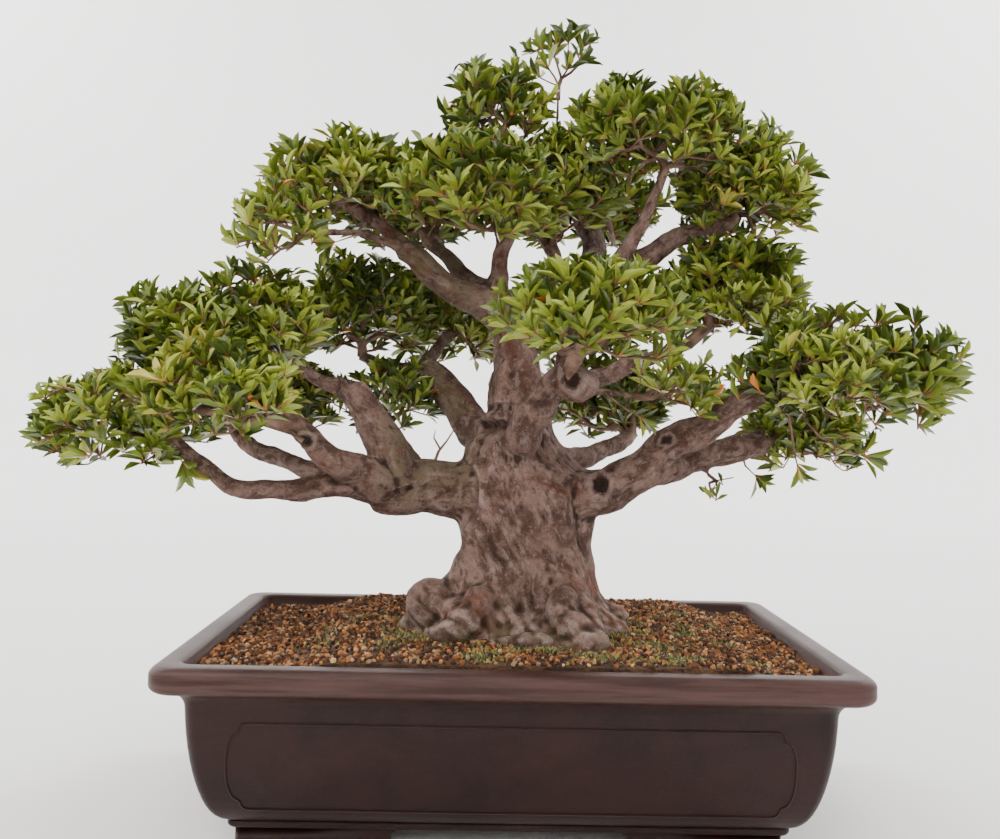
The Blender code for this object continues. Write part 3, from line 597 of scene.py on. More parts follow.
rng = random.Random(5)
grain_shapes = []
for _ in range(5):
    grain = bmesh.new()
    bmesh.ops.create_icosphere(grain, subdivisions=1, radius=1.0)
    for vert in grain.verts:
        vert.co *= rng.uniform(0.72, 1.12)
    grain_shapes.append(grain)
copies = []
while len(copies) < GRAINS:
    x = rng.uniform(-0.5, 0.5) * (POT_WIDTH - 2 * SOIL_INSET - 0.003)
    y = rng.uniform(-0.5, 0.5) * (POT_DEPTH - 2 * SOIL_INSET - 0.003)
    if math.hypot(x - TRUNK_CENTRE[0], y - TRUNK_CENTRE[1]) < 0.045:
        continue
    if rng.random() < moss_share(x, y) * 0.8:
        continue
    size = rng.choice(GRAIN_SIZES)
    spot = Vector((x, y, soil_height(x, y) - size * 0.2 + rng.uniform(0, 0.0006))) + pot_centre
    stretch = [size * rng.uniform(*limits) for limits in ((0.8, 1.2), (0.8, 1.2), (0.7, 1.0))]
    tone = rng.choices(range(len(GRAIN_TONES)), GRAIN_SHARES)[0]
    copies.append((rng.randrange(len(grain_shapes)), placing(spot, *any_turn(rng), stretch), tone))
grain_finishes = []
for number, tone in enumerate(GRAIN_TONES):
    fired = Finish(f"soil_grain_{number + 1}", Base_Color=colour(*tone), Roughness=0.93)
    where = fired.place()
    fired.bump(fired.noise(where, 900.0, 3.0, 0.6), 0.0006)
    grain_finishes.append(fired.material)
grains = stamp("soil_grains", grain_shapes, copies, grain_finishes, smooth=False)
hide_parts("soil")
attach(grains, "root")

tuft_shapes = []
for spread in (0.34, 0.5):
    tuft = bmesh.new()
    bmesh.ops.create_cone(tuft, cap_ends=False, segments=5, radius1=spread, radius2=0.05, depth=1.0)
    tuft_shapes.append(tuft)
copies = []
while len(copies) < MOSS_TUFTS:
    x = rng.uniform(-0.46, 0.46) * (POT_WIDTH - 2 * SOIL_INSET)
    y = rng.uniform(-0.48, 0.48) * (POT_DEPTH - 2 * SOIL_INSET)
    if rng.random() > moss_share(x, y) ** 1.5:
        continue
    size = rng.uniform(0.0016, 0.0034)
    lean = Vector((rng.gauss(0, 0.45), rng.gauss(0, 0.45), 1.0)).normalized()
    side = lean.orthogonal().normalized()
    spot = Vector((x, y, soil_height(x, y) + size * 0.25)) + pot_centre
    tone = rng.choices(range(len(MOSS_TONES)), MOSS_SHARES)[0]
    shape = placing(spot, side, lean.cross(side), lean, [size] * 3)
    copies.append((rng.randrange(len(tuft_shapes)), shape, tone))
moss_finishes = [Finish(f"moss_{number + 1}", Base_Color=colour(*tone), Roughness=0.85,
                        Sheen_Weight=0.4).material for number, tone in enumerate(MOSS_TONES)]
moss = stamp("moss", tuft_shapes, copies, moss_finishes)
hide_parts("soil")
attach(moss, "root")

# ---------------------------------------------------------------- trunk and boughs
# One old trunk with a wide root flare, forking into heavy boughs that taper to the foliage. The
# grey-brown bark follows every limb in long twisted ridges, with scars where shoots were cut.
# Height above the cut, shift to the right, half width and half depth of the trunk.
TRUNK_PROFILE = (
    (0.000, 0.0000, 0.060, 0.056),
    (0.010, 0.0000, 0.056, 0.052),
    (0.024, 0.0005, 0.052, 0.048),
    (0.040, 0.0010, 0.049, 0.046),
    (0.060, -0.0010, 0.0465, 0.045),
    (0.078, -0.0030, 0.050, 0.046),
    (0.096, -0.0040, 0.056, 0.046),
    (0.112, -0.0080, 0.049, 0.042),
    (0.128, -0.0110, 0.037, 0.035),
    (0.142, -0.0120, 0.027, 0.028),
)
TRUNK_TOP = 0.142
TRUNK_GIRTH = 0.05
# Direction in degrees, reach, spread in degrees and height of each surface root.
ROOTS = (
    (190, 0.094, 21, 0.052),
    (224, 0.086, 15, 0.026),
    (262, 0.064, 13, 0.012),
    (-64, 0.098, 17, 0.030),
    (-14, 0.074, 15, 0.018),
    (48, 0.078, 18, 0.024),
    (92, 0.070, 15, 0.018),
    (138, 0.082, 18, 0.026),
)
# Each limb's parent, where on it the limb starts, its tip in millimetres, its radius at foot and
# tip, and how far it bows, and then sways, off the straight line.
LIMBS = {
    "leader": ("trunk", 1.0, (-14, 12, 368), 25, 12.5, (10, 3, -2)),
    "left_bough": ("trunk", 0.72, (-97, -24, 229), 25, 18, (0, 0, -4)),
    "right_bough": ("trunk", 0.66, (181, -60, 301), 23, 7.5, (0, 0, -12), (0, 0, -10)),
    "front_bough": ("trunk", 0.84, (32, -95, 313), 19, 7, (-12, 4, -3)),
    "back_left_bough": ("trunk", 0.93, (-71, 60, 319), 19, 11, (2, 5, -13)),
    "back_right_bough": ("trunk", 0.84, (101, 110, 266), 12, 7, (0, 0, -6)),
    "back_bough": ("leader", 0.10, (48, 140, 347), 11, 5.5, (6, 14, -12)),
    "left_rising_bough": ("left_bough", 0.90, (-119, -18, 299), 19, 10.5, (6, 0, -2)),
    "left_upper_limb": ("left_rising_bough", 0.96, (-156, -26, 315), 7, 4.6, (0, 0, -2)),
    "left_front_limb": ("left_bough", 0.92, (-144, -80, 270), 13, 8, (0, -9, 0)),
    "left_low_limb": ("left_bough", 1.0, (-223, -86, 259), 11, 4.6, (2, -12, -18), (0, 0, 5)),
    "left_back_limb": ("left_bough", 0.92, (-211, 36, 260), 10, 5.8, (-10, 4, -4)),
    "left_inner_limb": ("left_bough", 0.70, (-96, 46, 268), 6, 3, (6, 0, 4)),
    "back_left_limb": ("back_left_bough", 0.96, (-120, 80, 327), 7.5, 5, (0, 0, -3)),
    "back_inner_limb": ("back_left_bough", 0.94, (-50, 112, 352), 7, 4.3, (-5, 0, 3)),
    "front_right_limb": ("front_bough", 0.72, (79, -55, 297), 4.2, 2.4, (-2, 0, 4)),
    "right_low_limb": ("right_bough", 0.40, (195, 20, 269), 12, 10.5, (3, 6, 0)),
    "under_twig": ("right_low_limb", 0.50, (152, 14, 238), 2.4, 1.6, (0, 0, -2)),
    "centre_right_bough": ("leader", 0.28, (132, 34, 340), 10, 5.4, (-3, 0, -4)),
    "upper_left_bough": ("leader", 0.94, (-83, -4, 401), 13, 8.5, (0, 0, -6)),
    "upper_left_limb": ("upper_left_bough", 0.97, (-123, -4, 432), 7, 4.4, (0, 0, 6)),
    "upper_left_low_limb": ("upper_left_bough", 0.95, (-136, -30, 409), 5, 2.6, (0, -4, 5)),
    "upper_inner_limb": ("leader", 0.97, (-68, 40, 416), 9, 5.9),
    "upper_centre_bough": ("leader", 1.0, (-5, 0, 418), 10.5, 5.2, (-8, 2, 0)),
    "upper_right_bough": ("leader", 0.74, (75, 2, 392), 14, 10.5, (0, 0, 14)),
    "upper_stub_limb": ("upper_right_bough", 0.45, (23, 22, 412), 7.5, 5, (4, 0, 0)),
    "upper_back_limb": ("upper_right_bough", 0.64, (54, 60, 436), 10.5, 8.5, (8, 3, 4)),
    "upper_right_limb": ("upper_right_bough", 0.96, (104, -18, 461), 7.5, 4, (1, -5, -4)),
    "right_crest_limb": ("upper_right_bough", 1.0, (159, 26, 433), 10.5, 6.5, (0, 3, 3)),
    "apex_shoot": ("upper_stub_limb", 0.80, (27, -4, 522), 3.2, 1.8),
    "apex_left_limb": ("upper_centre_bough", 0.80, (-16, 0, 480), 4, 2.6, (-5, 0, 0)),
}
# Swellings where old cuts have healed over, and the knuckles and toes of the surface roots:
# centre and half sizes in millimetres.
BURLS = (
    ((-38, -42, 140), (12, 11, 15)),
    ((-56, -26, 146), (19, 17, 20)),
    ((-24, -46, 150), (12, 12, 14)),
    ((-33, -54, 141), (13, 10, 10)),
    ((-45, -62, 133), (15, 9, 8)),
    ((-6, -64, 128), (11, 7, 5)),
    ((14, -68, 129), (14, 8, 7)),
    ((34, -56, 150), (12, 13, 15)),
    ((42, -66, 140), (12, 12, 11)),
    ((52, -75, 132), (13, 11, 9)),
    ((76, 4, 133), (14, 13, 11)),
    ((38, -84, 303), (16, 14, 12)),
)
# Eyes left by shoots cut long ago, each a sunken disc in a raised rim: place and radius in
# millimetres.
SCARS = (
    ((61, -32, 235), 7.5),
    ((106, -43, 267), 4.0),
    ((174, -65, 298), 4.5),
    ((-140, -84, 262), 5.0),
    ((34, -98, 308), 8.0),
    ((-14, 10, 308), 4.5),
)
TRUNK_SIDES = 96
LIMB_SIDES = 14
LIMB_SPACING = 0.006
TWIST = 6.0
VOXEL = 0.0019
RIDGE_RELIEF = 0.0021
CREASE_RELIEF = 0.0009
GRAIN_RELIEF = 0.0008
SCAR_RIM = 0.0013
SCAR_DEPTH = 0.45
CROOK_SEED = 1
# The shifts behind noise_vector come from the clock unless they are set.
noise.seed_set(CROOK_SEED)


def at(point):
    """A place given in millimetres from the middle of the pot's underside."""
    return Vector(point) / 1000 + pot_centre


def read_mesh(items, field, width, kind=float):
    """A field of a mesh's points or edges, a row each."""
    values = np.zeros(len(items) * width, kind)
    items.foreach_get(field, values)
    return values.reshape(-1, width)


def spoke(across, over, turn):
    """The direction at an angle between two square axes."""
    return across * math.cos(turn) + over * math.sin(turn)


def trunk_level(height):
    """Shift, half width and half depth of the trunk at a height above its cut."""
    height = max(height, 0.0)
    for lower, upper in zip(TRUNK_PROFILE, TRUNK_PROFILE[1:]):
        if height <= upper[0]:
            part = eased((height - lower[0]) / (upper[0] - lower[0]))
            return [a + (b - a) * part for a, b in zip(lower[1:], upper[1:])]
    return list(TRUNK_PROFILE[-1][1:])


def trunk_radius(angle, height):
    """Distance from the trunk's axis to its bark, with the surface roots."""
    _, half_x, half_y = trunk_level(height)
    radius = half_x * half_y / math.hypot(half_y * math.cos(angle), half_x * math.sin(angle))
    above = max(height, 0.0)
    for direction, reach, spread, rise in ROOTS:
        turn = math.radians(direction) - angle + TWIST * height
        turn = math.atan2(math.sin(turn), math.cos(turn))
        radius += ((reach - 0.056) * math.exp(-(turn / math.radians(spread)) ** 2)
                   * math.exp(-(above / rise) ** 1.5))
    furrow = 0.0016 * math.sin(5 * angle + 22 * height) + 0.0012 * math.sin(9 * angle - 30 * height)
    return radius + furrow * min(above / 0.03, 1.0)


def trunk_point(along):
    """A point on the trunk's axis."""
    height = TRUNK_TOP * along
    axis = Vector((TRUNK_CENTRE[0] + trunk_level(height)[0], TRUNK_CENTRE[1], GROUND + height))
    return axis + pot_centre


def limb_point(name, part):
    """A point on a limb's centre line, from its foot to its tip."""
    if name == "trunk":
        return trunk_point(part)
    parent, along, tip, _, _, *bends = LIMBS[name]
    point = limb_point(parent, along).lerp(at(tip), part)
    for turns, bend in enumerate(bends, 1):
        point += Vector(bend) / 1000 * math.sin(turns * math.pi * part)
    return point


def limb_radius(name, part):
    """A limb's radius along its length."""
    thick, thin = LIMBS[name][3:5]
    return (thick + (thin - thick) * part ** 0.8) / 1000


def limb_line(name, spacing):
    """Evenly spaced points, radii and lengths along a limb."""
    rough = [limb_point(name, step / 24) for step in range(25)]
    length = sum((b - a).length for a, b in zip(rough, rough[1:]))
    count = max(4, round(length / spacing))
    line = []
    for step in range(count + 1):
        point, radius = limb_point(name, step / count), limb_radius(name, step / count)
        crook = min(1.0, 6 * step / count * (1 - step / count))
        point += noise.noise_vector(point * 34) * min(radius, 0.009) * 0.8 * crook
        line.append((point, radius, length * step / count))
    return line


def framed(line):
    """Add to each point of a line two axes across it that don't twist."""
    found = []
    across = None
    for index, (point, radius, length) in enumerate(line):
        heading = (line[min(index + 1, len(line) - 1)][0] - line[max(index - 1, 0)][0]).normalized()
        if across is None:
            across = heading.orthogonal().normalized()
        across = (across - heading * across.dot(heading)).normalized()
        found.append((point, radius, length, heading, across, heading.cross(across)))
    return found


wood_data = bmesh.new()
heights = [-0.010, -0.004] + [0.0025 * step for step in range(57)]


def trunk_ring_point(index, height):
    angle = math.tau * index / TRUNK_SIDES
    axis = trunk_point(max(height, 0.0) / TRUNK_TOP)
    radius = trunk_radius(angle, height)
    x, y = axis.x + radius * math.cos(angle), axis.y + radius * math.sin(angle)
    return Vector((x, y, GROUND + height))


skin(wood_data, TRUNK_SIDES, [(height,) for height in heights], trunk_ring_point)
limb_frames = {name: framed(limb_line(name, LIMB_SPACING)) for name in LIMBS}
for order, (name, line) in enumerate(limb_frames.items()):
    stem = bmesh.new()

    def limb_ring_point(index, step, line=line, order=order):
        point, radius, length, heading, across, over = line[step]
        away = spoke(across, over, math.tau * index / LIMB_SIDES)
        knobs = 0.22 * min(1.0, 0.011 / radius)
        swell = 1 + knobs * noise.noise((point + away * radius) * 45.0 + Vector((order, 0, 0)))
        swell += 0.12 * noise.noise((point + away * radius) * 120.0)
        swell += 0.35 * math.exp(-length / (radius * 0.9)) if length < 0.05 else 0.0
        return point + away * radius * swell

    skin(stem, LIMB_SIDES, [(step,) for step in range(len(line))], limb_ring_point)
    join_shape(wood_data, stem)
for centre, half in BURLS:
    shape = Matrix.Translation(at(centre)) @ Matrix.Diagonal([size / 1000 for size in half] + [1.0])
    bmesh.ops.create_icosphere(wood_data, subdivisions=3, radius=1.0, matrix=shape)
wood = object_from("bark", wood_data)
remesh = wood.modifiers.new("one_skin", "REMESH")
remesh.mode = "VOXEL"
remesh.voxel_size = VOXEL
settle(wood)


def flow_along_wood(points):
    """Coordinates that run with the grain of the limb a point lies on, and that limb's radius."""
    axes = []
    for step in range(72):
        height = -0.01 + (TRUNK_TOP + 0.01) * step / 71
        axis = trunk_point(max(height, 0.0) / TRUNK_TOP)
        level = trunk_level(height)
        axes.append((axis.x, axis.y, GROUND + height, min(level[1:]), height, -1, step))
    for order, line in enumerate(limb_frames.values()):
        for step, (point, radius, length, _, _, _) in enumerate(line):
            axes.append((*point, radius, length, order, step))
    axes = np.array(axes)
    chosen = np.zeros(len(points), int)
    for start in range(0, len(points), 4000):
        block = points[start:start + 4000]
        gap = np.linalg.norm(block[:, None, :] - axes[None, :, :3], axis=2) - axes[None, :, 3]
        chosen[start:start + 4000] = gap.argmin(axis=1)
    flow = np.zeros((len(points), 3))
    thickness = np.zeros(len(points))
    lines = list(limb_frames.values())
    for index, pick in enumerate(chosen):
        x, y, z, radius, length, order, step = axes[pick]
        offset = Vector(points[index]) - Vector((x, y, z))
        if order < 0:
            height = points[index][2] - GROUND
            reach = math.hypot(offset.x, offset.y)
            turn = math.atan2(offset.y, offset.x) + TWIST * max(height, 0.0)
            radius, run = TRUNK_GIRTH, height - 0.8 * (reach - TRUNK_GIRTH)
        else:
            point, _, run, heading, across, over = lines[int(order)][int(step)]
            turn = math.atan2(offset.dot(over), offset.dot(across)) + run * 9.0
            run += offset.dot(heading)
            run += 0.31 * (order + 1)
        flow[index] = (radius * math.cos(turn), radius * math.sin(turn), run)
        thickness[index] = radius
    return flow, thickness


mesh = wood.data
points = read_mesh(mesh.vertices, "co", 3)
edges = read_mesh(mesh.edges, "vertices", 2, int)


def smoothed(values, rounds):
    """Even a value out between neighbouring points of the bark's mesh."""
    shape = (len(values), 1) if values.ndim == 1 else (len(values), values.shape[1])
    values = values.reshape(shape).astype(float)
    count = np.bincount(edges.ravel(), minlength=len(values)).reshape(-1, 1)
    for _ in range(rounds):
        total = np.zeros(shape)
        for column in range(shape[1]):
            for here, there in ((0, 1), (1, 0)):
                shared = values[edges[:, there], column]
                total[:, column] += np.bincount(edges[:, here], shared, len(values))
        values = 0.4 * values + 0.6 * total / count
    return values if shape[1] > 1 else values[:, 0]


points = smoothed(points, 5)
mesh.vertices.foreach_set("co", points.ravel())
mesh.update()
normals = read_mesh(mesh.vertices, "normal", 3)
flow, thickness = flow_along_wood(points)
relief = np.zeros(len(points))
for index, (x, y, z) in enumerate(flow):
    size = thickness[index]
    strength = min(size / TRUNK_GIRTH, 1.0)
    muscle = noise.ridged_multi_fractal(Vector((x * 30, y * 30, z * 13)), 1.0, 2.1, 2, 1.0, 1.8)
    crease = noise.noise(Vector((x * 120, y * 120, z * 45)))
    grain = noise.noise(Vector((x * 250, y * 250, z * 130)))
    relief[index] = ((muscle - 0.9) * RIDGE_RELIEF * strength
                     - CREASE_RELIEF * strength * max(0.0, 0.5 - 3 * abs(crease))
                     + crease * (0.0005 + CREASE_RELIEF * strength) + grain * GRAIN_RELIEF)
relief = smoothed(relief, 1)
sunken = np.zeros(len(points))
for centre, radius in SCARS:
    offset = points - np.array(at(centre))
    turn = np.arctan2(offset[:, 2], offset[:, 0])
    away = np.linalg.norm(offset, axis=1) / (radius / 1000)
    away *= 1 + 0.13 * np.sin(2 * turn + radius) + 0.04 * np.sin(5 * turn + 3 * radius)
    relief += SCAR_RIM * np.exp(-((away - 1.25) / 0.34) ** 2)
    pit = np.clip((1.0 - away) / 0.5, 0.0, 1.0)
    relief -= SCAR_DEPTH * radius / 1000 * pit
    sunken = np.maximum(sunken, pit)
points += normals * relief[:, None]
mesh.vertices.foreach_set("co", points.ravel())
mesh.update()
# The raised attribute tells ridges from hollows. From it the bark's shader paints highlights on the
# ridges and shade in the low hollows, and puts moss in those hollows.
broad = smoothed(points, 12)
raised = ((points - broad) * normals).sum(axis=1)
raised = np.clip(0.5 + (raised - smoothed(raised, 20)) / 0.0012, 0.0, 1.0) * (1 - sunken)
mesh.attributes.new("grain_flow", "FLOAT_VECTOR", "POINT").data.foreach_set("vector", flow.ravel())
mesh.attributes.new("raised", "FLOAT", "POINT").data.foreach_set("value", raised)
smooth_over(mesh)

bark = Finish("azalea_bark", Roughness=0.8, Specular_IOR_Level=0.35)
where = bark.place()
flow_line = bark.node("Attribute", {"attribute_name": "grain_flow"}, {}, "Vector")
raised_here = bark.node("Attribute", {"attribute_name": "raised"}, {}, "Fac")
fibres = bark.noise(bark.stretched(flow_line, (260, 260, 110)), 1.0, 6.0, 0.7)
flakes = bark.noise(bark.stretched(flow_line, (120, 120, 70)), 1.0, 6.0, 0.7, 0.8)
patches = bark.noise(where, 60.0, 6.0, 0.68, 0.5)
rust = bark.noise(where, 15.0, 6.0, 0.7, 1.0)
lichen = bark.noise(where, 21.0, 6.0, 0.7, 0.6)
specks = bark.noise(where, 300.0, 5.0, 0.75)
pores = bark.noise(where, 900.0, 3.0, 0.7)
height_up = bark.node("SeparateXYZ", {}, {0: where}, 2)
sideways = bark.node("SeparateXYZ", {}, {0: where}, 0)
damp = sideways.within(0.028, 0.060) * height_up.within(GROUND + 0.085, GROUND + 0.030)
shoulder = sideways.within(-0.022, -0.045) * sideways.within(-0.110, -0.080)
shoulder = shoulder * height_up.within(0.205, 0.240)
# Painted highlight: the raised root tops just above the soil are painted pale, flecked.
toes = raised_here.within(0.42, 0.75) * height_up.within(GROUND + 0.030, GROUND + 0.010)
mossy = raised_here.within(0.50, 0.22) * height_up.within(GROUND + 0.042, GROUND + 0.014)
# Painted shade: the hollows at the foot of the trunk, where it meets the soil, are painted dark.
painted_shade = raised_here.within(0.42, 0.08) * height_up.within(GROUND - 0.010, GROUND + 0.012)
green = height_up.within(GROUND + 0.014, GROUND + 0.001) * patches.within(0.46, 0.60)
shade = bark.mix(patches.within(0.38, 0.62), (82, 59, 50), (132, 105, 94))
for share, tone in (
    (flakes.within(0.50, 0.66) * 0.6, (158, 134, 125)),
    (rust.within(0.56, 0.66) * 0.6, (104, 58, 42)),
    (lichen.within(0.57, 0.68) * 0.45, (94, 84, 54)),
    (fibres.within(0.47, 0.34) * 0.65, (58, 40, 33)),
    (specks.within(0.56, 0.70) * 0.5, (174, 152, 144)),
    (specks.within(0.44, 0.32) * 0.55, (52, 36, 30)),
    (damp * rust.within(0.46, 0.60) * 0.7, (122, 66, 42)),
    (shoulder * patches.within(0.40, 0.58) * 0.6, (84, 80, 50)),
    # painted highlight on the raised root tops
    (toes * (0.22 + 0.45 * specks.within(0.42, 0.60)), (184, 162, 152)),
    (mossy * 0.6, (66, 58, 30)),
    # painted shade in the hollows at the foot of the trunk
    (painted_shade * 0.85, (38, 25, 20)),
    # painted highlight on the raised ridges of the bark
    (raised_here.within(0.6, 0.95) * 0.35, (170, 148, 139)),
    (green * 0.55, (88, 88, 46)),
):
    shade = bark.mix(share, shade, tone)
bark.feed("Base Color", shade)
bark.feed("Roughness", 0.72 + 0.2 * pores)
bark.bump(patches * 1.2 + fibres * 1.0 + flakes * 0.6 + specks * 0.7, 0.0026)
mesh.materials.append(bark.material)
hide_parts("trunk", *LIMBS)
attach(wood, "root")

# ---------------------------------------------------------------- twigs
# Inside each pad of foliage the limb divides again and again into thin twigs, each ending in a
# rosette. A pad keeps to its own space, so there is air between one pad and the next.
# Each pad's limb, middle and half sizes in millimetres.
PADS = {
    "far_left_pad": ("left_low_limb", (-264, -85, 271), (58, 52, 34)),
    "left_front_pad": ("left_front_limb", (-189, -105, 292), (54, 48, 36)),
    "left_upper_pad": ("left_upper_limb", (-208, -25, 338), (78, 60, 44)),
    "left_back_pad": ("left_back_limb", (-208, 80, 290), (66, 56, 40)),
    "left_inner_pad": ("left_inner_limb", (-94, 64, 295), (42, 42, 34)),
    "back_left_pad": ("back_left_limb", (-128, 92, 367), (60, 56, 44)),
    "back_inner_pad": ("back_inner_limb", (-46, 155, 362), (58, 52, 42)),
    "back_pad": ("back_bough", (58, 182, 372), (60, 50, 42)),
    "upper_left_pad": ("upper_left_limb", (-139, 0, 450), (58, 56, 44)),
    "upper_left_low_pad": ("upper_left_low_limb", (-168, -48, 412), (36, 32, 26)),
    "upper_inner_pad": ("upper_inner_limb", (-84, 66, 447), (54, 50, 42)),
    "upper_centre_pad": ("upper_centre_bough", (-32, -40, 438), (56, 50, 44)),
    "apex_left_pad": ("apex_left_limb", (-20, 2, 512), (43, 42, 35)),
    "apex_sprig": ("apex_shoot", (31, -4, 550), (30, 28, 22)),
    "upper_stub_pad": ("upper_stub_limb", (28, 14, 458), (50, 44, 42)),
    "upper_back_pad": ("upper_back_limb", (52, 122, 466), (72, 58, 48)),
    "upper_right_pad": ("upper_right_limb", (98, -22, 490), (60, 56, 42)),
    "right_crest_pad": ("right_crest_limb", (180, 30, 461), (56, 60, 48)),
    "right_mid_pad": ("centre_right_bough", (172, 35, 381), (60, 60, 47)),
    "front_pad": ("front_bough", (40, -138, 342), (66, 46, 38)),
    "front_right_pad": ("front_right_limb", (106, -58, 302), (36, 34, 28)),
    "right_pad": ("right_bough", (231, -66, 314), (77, 60, 48)),
    "right_low_pad": ("right_low_limb", (230, 42, 270), (52, 50, 34)),
    "under_sprig": ("under_twig", (160, 16, 228), (20, 18, 16)),
    "back_right_pad": ("back_right_bough", (86, 152, 300), (60, 56, 42)),
}
PAD_MARGIN = 0.02
SPRAY_SPACING = 0.0200
ROSETTE_SPACING = 0.0122
LEAF_REACH = 0.018
AIR_SHARE = -0.12
SPACE_LIMIT = 1.10
VALLEY_LIMIT = 1.30
VALLEY_WIDTH = 1.45
TWIG_TIP = 0.00052
YOUNG_TWIG = 0.0011
TWIG_STEP = 0.010
SPRAY_TRIES = 1500
OUTER_TRIES = 1250
SPRAY_REACH = 0.0165
ROSETTE_TRIES = 60
NO_ROOM = 9.0
SEED = 31
# Where a pad's foliage stops short of its room, or fills it beyond: direction and share.
PAD_LEANS = {
    "left_upper_pad": (((-1.0, 0.0, -0.3), -0.26), ((-0.3, 0.0, 1.0), -0.10)),
    "upper_left_pad": (((-0.7, 0.0, 0.7), -0.20),),
    "upper_left_low_pad": (((-0.6, 0.0, -0.8), -0.20),),
    "far_left_pad": (((-1.0, 0.0, 0.2), -0.14), ((0.0, 0.0, -1.0), 0.16)),
    "apex_left_pad": (((0.5, 0.0, 0.9), -0.20),),
    "apex_sprig": (((0.4, 0.0, 0.9), -0.24),),
    "upper_right_pad": (((-0.8, 0.0, 0.6), -0.16), ((0.6, 0.0, 0.8), -0.12)),
    "right_crest_pad": (((0.8, 0.0, 0.6), -0.24), ((0.4, 0.0, -0.9), 0.10)),
    "right_mid_pad": (((1.0, 0.0, 0.2), -0.18),),
    "right_pad": (((0.9, 0.0, 0.5), -0.12), ((0.7, 0.0, -0.7), 0.24)),
}
# Single shoots that leave the wood by themselves, the leafy ones ending in one rosette: the pad
# whose room they share, radius at the foot, whether leafy, and points in millimetres.
LONE_SHOOTS = (
    ("left_front_pad", 2.0, False, ((-141, -83, 262), (-148, -85, 268), (-165, -87, 275),
                                    (-183, -90, 277), (-203, -95, 285))),
    ("left_inner_pad", 1.8, False, ((-60, 2, 242), (-56, 8, 254), (-50, 10, 262), (-44, 12, 272))),
    ("left_inner_pad", 1.1, False, ((-55, 8, 256), (-60, 12, 264), (-59, 14, 270))),
    ("far_left_pad", 1.1, True, ((-219, -86, 256), (-220, -88, 250), (-217, -89, 244))),
    ("right_pad", 1.2, True, ((184, -60, 294), (188, -60, 276), (190, -61, 262), (193, -61, 250))),
    ("right_pad", 1.1, True, ((186, -60, 296), (206, -66, 272), (224, -70, 262), (236, -71, 259))),
    ("right_low_pad", 1.1, True, ((172, 14, 262), (176, 12, 248), (184, 10, 240))),
    ("front_right_pad", 1.1, True, ((60, -62, 298), (72, -70, 288), (84, -76, 281))),
    ("upper_left_pad", 1.0, True, ((-110, -3, 424), (-122, -10, 410), (-136, -14, 404))),
)
pad_names = list(PADS)
pad_centres = np.array([PADS[name][1] for name in pad_names]) / 1000 + np.array(pot_centre)
pad_halves = np.array([PADS[name][2] for name in pad_names]) / 1000


def pad_shares(index, point):
    """Distance from a pad's middle as a share of its half sizes, and the least for all others."""
    shares = np.sqrt((((np.array(point) - pad_centres) / pad_halves) ** 2).sum(axis=1))
    return shares[index], np.delete(shares, index).min()


def space_share(index, point):
    """That share, or far more where another pad is nearer."""
    own, nearest = pad_shares(index, point)
    return own if own + PAD_MARGIN < nearest else NO_ROOM


def leaf_limit(index, point):
    """How far out leaves may come, as that share: further where a neighbour closes the valley."""
    return VALLEY_LIMIT if pad_shares(index, point)[1] < VALLEY_WIDTH else SPACE_LIMIT


def apart(place, others, spacing):
    """Whether a place keeps its distance from the ones before it."""
    return all((place - other).length > spacing for other in others)


def pad_reach(index, way):
    """How far a pad's foliage comes in a direction, as a share of its half sizes."""
    shift = Vector((index * 7.3, index, 0))
    lumps = 0.30 * noise.noise(way * 2.1 + shift) + 0.26 * noise.noise(way * 5.2 + shift)
    for lean, share in PAD_LEANS.get(pad_names[index], ()):
        lumps += share * max(way.dot(Vector(lean).normalized()), 0.0) ** 2
    return 0.92 + lumps - 0.08 * way.z


def spray_places(index, rng):
    """Middles of a pad's sprays: over its top and sides, and fewer inside and beneath."""
    centre, half = Vector(pad_centres[index]), Vector(pad_halves[index])
    found = []
    for tries in range(SPRAY_TRIES):
        level = rng.uniform(-0.7, 1.0)
        if level < -0.3 and rng.random() < 0.35:
            continue
        turn = rng.uniform(0, math.tau)
        flat = math.sqrt(1 - level * level)
        way = Vector((flat * math.cos(turn), flat * math.sin(turn), level))
        edge = Vector([way[axis] * half[axis] for axis in range(3)])
        valley = leaf_limit(index, centre + edge * 1.2) == VALLEY_LIMIT
        edge *= max(pad_reach(index, way), 1.2) if valley else pad_reach(index, way)
        inset = LEAF_REACH + (0.003 if tries < OUTER_TRIES else rng.uniform(0.012, 0.024))
        place = centre + edge * max(1 - inset / edge.length, 0.12)
        airy = half.x > 0.04 and noise.noise(place * 46) < AIR_SHARE
        if airy or space_share(index, place) > 1.2:
            continue
        if apart(place, found, SPRAY_SPACING):
            found.append(place)
    return found


def rosette_places(index, rng):
    """Places for rosettes: each spray is a loose tuft of them, with a shoot or two standing out."""
    centre = Vector(pad_centres[index])
    found = []
    for number, middle in enumerate(spray_places(index, rng)):
        axis = ((middle - centre).normalized() * 0.8 + Vector((0, 0, 0.5))).normalized()
        across = axis.orthogonal().normalized()
        over = axis.cross(across)
        size = rng.uniform(0.7, 1.2)
        tall = rng.uniform(-0.003, 0.005)
        own = []
        for _ in range(ROSETTE_TRIES):
            turn, spread = rng.uniform(0, math.tau), math.sqrt(rng.random())
            place = middle + spoke(across, over, turn) * SPRAY_REACH * spread * size
            place += axis * (rng.uniform(-0.006, 0.006) + tall - 0.006 * spread * spread)
            place += axis * 0.013 * (rng.random() < 0.14)
            clear = space_share(index, place) < leaf_limit(index, place) - 0.13
            if clear and apart(place, own, ROSETTE_SPACING):
                own.append(place)
        found += [(place, number) for place in own]
    return found


